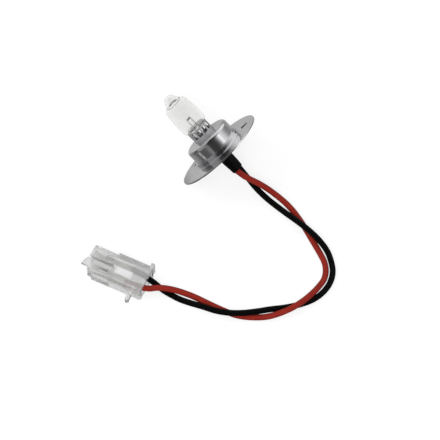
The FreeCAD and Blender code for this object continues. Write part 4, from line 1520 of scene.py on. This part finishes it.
@dataclass
class Lead:
    """The two insulated wires, each on its own smooth route from the sleeve to the plug.

    The routes are listed points in metres. The entry's points are in the plug's own axes.
    """

    wire_radius: float = 1.27
    exit_twist: float = 38.0
    wire_offset: float = 1.4
    pin_offset: float = 1.4
    splice_gap: float = 7.3
    splice_bare: Point2 = (-7.2, -4.5)
    sleeve_behind: float = 14.2
    curve_steps: int = 10
    section_steps: int = 6
    entry: tuple[Point3, ...] = ((-1.6, 2.1, 4.3), (5.6, 3.175, 4.0), (8.4, 3.175, 4.0))
    red_route: tuple[Point3, ...] = (
        (-0.0236, 0.0001, 0.0086), (-0.0286, -0.0020, 0.0056), (-0.0350, -0.0030, 0.0026),
        (-0.0425, -0.0023, 0.00127), (-0.0505, 0.0008, 0.00127), (-0.0576, 0.0046, 0.00127),
        (-0.0645, 0.0082, 0.00127), (-0.0708, 0.0118, 0.00127), (-0.0744, 0.0172, 0.00127),
        (-0.0749, 0.0234, 0.0024), (-0.0746, 0.0302, 0.00395), (-0.0726, 0.0371, 0.00395),
        (-0.0696, 0.0422, 0.0032), (-0.0654, 0.0464, 0.00127), (-0.0604, 0.0502, 0.00127),
        (-0.0552, 0.0530, 0.00127), (-0.0500, 0.0542, 0.00127), (-0.0430, 0.0552, 0.00127),
        (-0.0358, 0.0559, 0.00127), (-0.0304, 0.0576, 0.0024), (-0.0258, 0.0599, 0.0040),
        (-0.0212, 0.0627, 0.00455))
    black_route: tuple[Point3, ...] = (
        (-0.0221, -0.0012, 0.0059), (-0.0269, -0.0003, 0.0034), (-0.0333, 0.0004, 0.0016),
        (-0.0399, 0.0010, 0.00127), (-0.0453, 0.0018, 0.0020), (-0.0500, 0.0030, 0.00395),
        (-0.0562, 0.0037, 0.00395), (-0.0623, 0.0049, 0.0037), (-0.0679, 0.0065, 0.0021),
        (-0.0720, 0.0095, 0.00127), (-0.0755, 0.0132, 0.00127), (-0.0775, 0.0183, 0.00127),
        (-0.0776, 0.0238, 0.00127), (-0.0760, 0.0292, 0.00127), (-0.0727, 0.0342, 0.00127),
        (-0.0683, 0.0390, 0.00127), (-0.0645, 0.0430, 0.0021), (-0.0612, 0.0477, 0.0037),
        (-0.0570, 0.0518, 0.00395), (-0.0522, 0.0552, 0.00395), (-0.0468, 0.0577, 0.00395),
        (-0.0417, 0.0584, 0.0030), (-0.0365, 0.0591, 0.00127), (-0.0314, 0.0605, 0.00127),
        (-0.0266, 0.0609, 0.00127), (-0.0223, 0.0610, 0.00127))

    def points(self, side: Side, lamp: LocalAxes, plug: LocalAxes) -> list[Vector]:
        """All control points of a wire, from its splice to its crimp.

        Args:
            side: The wire's circuit.
            lamp: The lamp's own axes.
            plug: The plug's own axes.

        Returns:
            The points, in metres.
        """
        turn = math.radians(self.exit_twist)
        pair = side.value * self.wire_offset
        route = self.red_route if side is Side.RED else self.black_route
        inside = [lamp.point(0, side.value * self.pin_offset, -self.splice_gap),
                  lamp.point(-math.sin(turn) * pair, math.cos(turn) * pair, -self.sleeve_behind)]
        entry = [plug.point(x, side.value * y, z) for x, y, z in self.entry]
        return inside + [Vector(point) for point in route] + entry

    def wire(self, side: Side, lamp: LocalAxes, plug: LocalAxes, material: Material) -> bpy.types.Object:
        """One wire as a smooth curve with a round section.

        Args:
            side: The wire's circuit.
            lamp: The lamp's own axes.
            plug: The plug's own axes.
            material: The insulation's finish.

        Returns:
            The wire.
        """
        points = self.points(side, lamp, plug)
        curve = bpy.data.curves.new(f"{side.word}_lead", "CURVE")
        curve.dimensions = "3D"
        spline = curve.splines.new("NURBS")
        spline.points.add(len(points) - 1)
        for control, point in zip(spline.points, points):
            control.co = (*point, 1.0)
        spline.order_u = 3
        spline.use_endpoint_u = True
        spline.resolution_u = self.curve_steps
        curve.bevel_depth = self.wire_radius * MM
        curve.bevel_resolution = self.section_steps
        curve.use_fill_caps = True
        curve.materials.append(material)
        piece = in_scene(bpy.data.objects.new(f"{side.word}_lead", curve))
        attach(piece, BODY)
        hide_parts(f"{side.word}_wire")
        return piece

    def splices(self, lamp: LocalAxes, copper: Material) -> None:
        """Lay the bare copper of both splices.

        Args:
            lamp: The lamp's own axes.
            copper: The strands' finish.
        """
        low, high = self.splice_bare
        for side in Side:
            start = lamp.point(0, side.value * self.pin_offset, low)
            piece = CopperStrands().build(f"splice_strands_{side.word}", high - low,
                                          LocalAxes(start, lamp.z_axis, lamp.y_axis), copper)
            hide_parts(f"spliced_copper_{side.word}")


def declare_lead(lead: Lead, lamp: LocalAxes, wires: dict[Side, bpy.types.Object]) -> None:
    """Find where each wire starts at its splice; nothing further is done with the wires.

    Args:
        lead: The lead's sizes.
        lamp: The lamp's own axes.
        wires: The wire of each side.
    """
    for side, wire in wires.items():
        start = lamp.point(0, side.value * lead.pin_offset, -lead.splice_gap)


def heading(degrees: float) -> Vector:
    """A level direction at an angle from X."""
    return Vector((math.cos(math.radians(degrees)), math.sin(math.radians(degrees)), 0))


@dataclass(frozen=True)
class AreaLamp:
    """A soft square lamp: its name, place, width and power."""

    name: str
    place: Point3
    width: float
    power: float

    def hang(self, target: Vector) -> None:
        """Hang the lamp, out of sight of metal and glass.

        Args:
            target: Where it points.
        """
        data = bpy.data.lights.new(self.name, "AREA")
        data.shape = "SQUARE"
        data.size = self.width
        data.energy = self.power
        light = in_scene(bpy.data.objects.new(self.name, data))
        light.location = self.place
        light.visible_glossy = False
        light.visible_transmission = False
        light.rotation_euler = (target - Vector(self.place)).to_track_quat("-Z", "Y").to_euler()


@dataclass
class Studio:
    """Camera, floor and light of the photograph.

    Both runs of panels are levels by degrees round the lamp, from the side that faces the camera: panels on
    the cable side of the flange, and upper_panels on the bulb side. painted_floor_shading is painted light
    and shade on the floor as reflections show it, by its world Y: lighter round Y -0.02, darker towards both
    ends.
    """

    azimuth: float = 125.3
    elevation: float = 60.0
    lens: float = 400.0
    sensor: float = 36.0
    view_width: float = 0.1837
    clip_end: float = 20.0
    shift_right: float = 0.63
    shift_down: float = 29.5
    white: float = 1.0
    diffuse_level: float = 0.62
    facing: float = 155.3
    blend_reach: float = 0.15
    floor_radius: float = 1.2
    floor_segments: int = 96
    floor_reach: float = 0.12
    floor_seen: float = 0.34
    floor_lit: float = 0.6
    floor_glow: float = 0.7
    lights: tuple[AreaLamp, ...] = (
        AreaLamp("key", (-0.35, 0.55, 0.9), 0.5, 5.0), AreaLamp("fill", (0.6, 0.5, 0.7), 0.6, 2.0))
    glossy_bounces: int = 12
    transmission_bounces: int = 20
    max_bounces: int = 24
    panels: tuple[Point2, ...] = (
        (-180, 0.4), (-110, 0.35), (-75, 0.16), (-57, 0.10), (-44, 0.12), (-38, 0.16), (-33, 0.21),
        (-24, 0.19), (-19, 0.055), (-5, 0.04), (9, 0.045), (20, 0.1), (30, 0.33), (40, 0.95), (46, 1.2),
        (54, 0.85), (70, 0.68), (84, 0.41), (99, 0.26), (118, 0.3), (150, 0.4), (180, 0.4))
    upper_panels: tuple[Point2, ...] = (
        (-180, 0.4), (-125, 0.42), (-90, 0.32), (-64, 0.3), (-42, 0.28), (-30, 0.2), (-22, 0.05), (0, 0.025),
        (22, 0.06), (33, 0.2), (42, 0.4), (64, 0.75), (85, 0.95), (110, 0.85), (125, 0.7), (180, 0.4))
    # Painted light and shade on the floor as reflections show it, by world Y in metres.
    painted_floor_shading: tuple[Point2, ...] = (
        (-0.11, 0.31), (-0.038, 0.46), (-0.02, 0.56), (0.006, 0.54), (0.012, 0.34), (0.03, 0.22),
        (0.042, 0.13), (0.09, 0.09))

    def camera(self, lamp: LocalAxes) -> None:
        """Set the camera at the photograph's angle.

        Args:
            lamp: The lamp's own axes.
        """
        elevation = math.radians(self.elevation)
        back = heading(self.azimuth) * math.cos(elevation) + Vector((0, 0, math.sin(elevation)))
        right = heading(self.azimuth + RIGHT_ANGLE)
        up = back.cross(right)
        target = lamp.origin + right * self.shift_right * MM - up * self.shift_down * MM
        place = Matrix((right, up, back)).transposed().to_4x4()
        place.translation = target + back * self.view_width * self.lens / self.sensor
        data = bpy.data.cameras.new("photo_camera")
        data.lens = self.lens
        data.sensor_width = self.sensor
        data.clip_end = self.clip_end
        camera = in_scene(bpy.data.objects.new("photo_camera", data))
        camera.matrix_world = place
        bpy.context.scene.camera = camera

    @staticmethod
    def seen(wiring: Wiring, path: Node) -> Socket:
        """Whether a surface is seen straight or through glass, and not in a reflection."""
        return wiring.maths("MAXIMUM", path.outputs["Is Camera Ray"], path.outputs["Is Transmission Ray"])

    def world(self, lamp: LocalAxes) -> None:
        """Light the room evenly, with long panels along the lamp that polished metal shows.

        Args:
            lamp: The lamp's own axes.
        """
        world = bpy.data.worlds.new("studio")
        world.use_nodes = True
        bpy.context.scene.world = world
        wiring = Wiring(world.node_tree)
        background = next(node for node in world.node_tree.nodes if node.type == "BACKGROUND")
        direction = wiring.add("ShaderNodeTexCoord").outputs["Generated"]
        front, side = (wiring.along(direction, lamp.rotation @ heading(angle))
                       for angle in (self.facing, self.facing + RIGHT_ANGLE))
        angle = wiring.maths("ARCTAN2", side, front)
        share = wiring.maths("ADD", wiring.maths("DIVIDE", angle, FULL_TURN), 0.5)
        low, high = (wiring.ramp(share, [(turn / CIRCLE + 0.5, level) for turn, level in panels])
                     for panels in (self.panels, self.upper_panels))
        rise = wiring.between(wiring.along(direction, lamp.z_axis), -self.blend_reach, self.blend_reach)
        path = wiring.add("ShaderNodeLightPath")
        room = wiring.blend(path.outputs["Is Glossy Ray"], grey(self.diffuse_level),
                            wiring.blend(rise, low, high))
        shown = wiring.blend(self.seen(wiring, path), room, grey(self.white))
        wiring.link(shown, background.inputs["Color"])

    def floor(self) -> None:
        """Lay a pale floor that keeps the object's shadow, with painted light and shade where reflections
        show it.
        """
        work = bmesh.new()
        bmesh.ops.create_circle(work, cap_ends=True, segments=self.floor_segments, radius=self.floor_radius)
        floor = in_scene(bpy.data.objects.new("floor", to_mesh("floor", work)))
        material = bpy.data.materials.new("pale_floor")
        material.use_nodes = True
        material.node_tree.nodes.clear()
        wiring = Wiring(material.node_tree)
        path = wiring.add("ShaderNodeLightPath")
        seen = self.seen(wiring, path)
        width = 2 * self.floor_reach
        place = wiring.add("ShaderNodeNewGeometry").outputs["Position"]
        parts = wiring.add("ShaderNodeSeparateXYZ", {0: place})
        share = wiring.maths("ADD", wiring.maths("DIVIDE", parts.outputs["Y"], width), 0.5)
        # Painted light and shade: in reflections the floor is lighter from Y -0.02 to 0.006 m and darker
        # towards both ends.
        painted_floor_shading = wiring.ramp(share, [(y / width + 0.5, level) for y, level in self.painted_floor_shading])
        unseen = wiring.blend(path.outputs["Is Glossy Ray"], grey(self.floor_lit), painted_floor_shading)
        tone = wiring.blend(seen, unseen, grey(self.floor_seen))
        matt = wiring.add("ShaderNodeBsdfDiffuse", {"Color": tone})
        glow = wiring.add("ShaderNodeEmission", {"Color": grey(1.0),
                                                 "Strength": wiring.maths("MULTIPLY", seen, self.floor_glow)})
        both = wiring.add("ShaderNodeAddShader", {0: matt.outputs[0], 1: glow.outputs[0]})
        wiring.add("ShaderNodeOutputMaterial", {"Surface": both.outputs[0]})
        floor.data.materials.append(material)

    def build(self, lamp: LocalAxes) -> None:
        """Set up the whole studio.

        Args:
            lamp: The lamp's own axes.
        """
        self.camera(lamp)
        self.world(lamp)
        self.floor()
        for light in self.lights:
            light.hang(lamp.origin)
        scene = bpy.context.scene
        scene.cycles.glossy_bounces = self.glossy_bounces
        scene.cycles.transmission_bounces = self.transmission_bounces
        scene.cycles.max_bounces = self.max_bounces
        scene.view_settings.view_transform = "Standard"


def carry_over(lamp: LocalAxes) -> None:
    """Dress the nodes of the frame whose shape is already right.

    Args:
        lamp: The lamp's own axes.
    """
    pairs = {"sealing_foil": FOIL, "base_pin": PIN, "crimped_splice": TINNED, "splice_liner": WOVEN}
    for stem, finish in pairs.items():
        material = finish.build(lamp)
        for side in Side:
            Finisher.carry(f"{stem}_{side.word}", material)
    Finisher.carry("ceramic_cement", CEMENT.build(lamp))
    Finisher.carry("rear_bush", CERAMIC.build(lamp))


def main() -> None:
    """Build and dress every piece."""
    logging.basicConfig(level=logging.INFO, format="%(message)s")
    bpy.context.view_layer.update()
    lamp = lamp_axes()
    Studio().build(lamp)
    plug = Plug()
    lead = Lead()
    wires = {side: lead.wire(side, lamp, plug.axes(), finish.build(lamp))
             for side, finish in ((Side.RED, RED_PVC), (Side.BLACK, BLACK_PVC))}
    polished = POLISHED.build(lamp)
    MountingFlange(lamp, polished).build()
    LampCup(lamp, polished).build()
    WindowedCollar(lamp, SATIN.build(lamp)).build()
    QuartzCapsule(lamp, GlassFinish().build(lamp)).build()
    Filament(lamp, TUNGSTEN.build(lamp)).build()
    FilamentPosts(lamp, DRAWN_WIRE.build(lamp)).build()
    ShrinkSleeve(lamp, SHRINK.build(lamp)).build()
    copper = COPPER.build(lamp)
    carry_over(lamp)
    lead.splices(lamp, copper)
    housing = plug.housing(NylonFinish().build(plug.axes()))
    contacts = plug.contacts(TINNED.build(plug.axes()), copper)
    declare_lead(lead, lamp, wires)


if __name__ == "__main__":
    main()
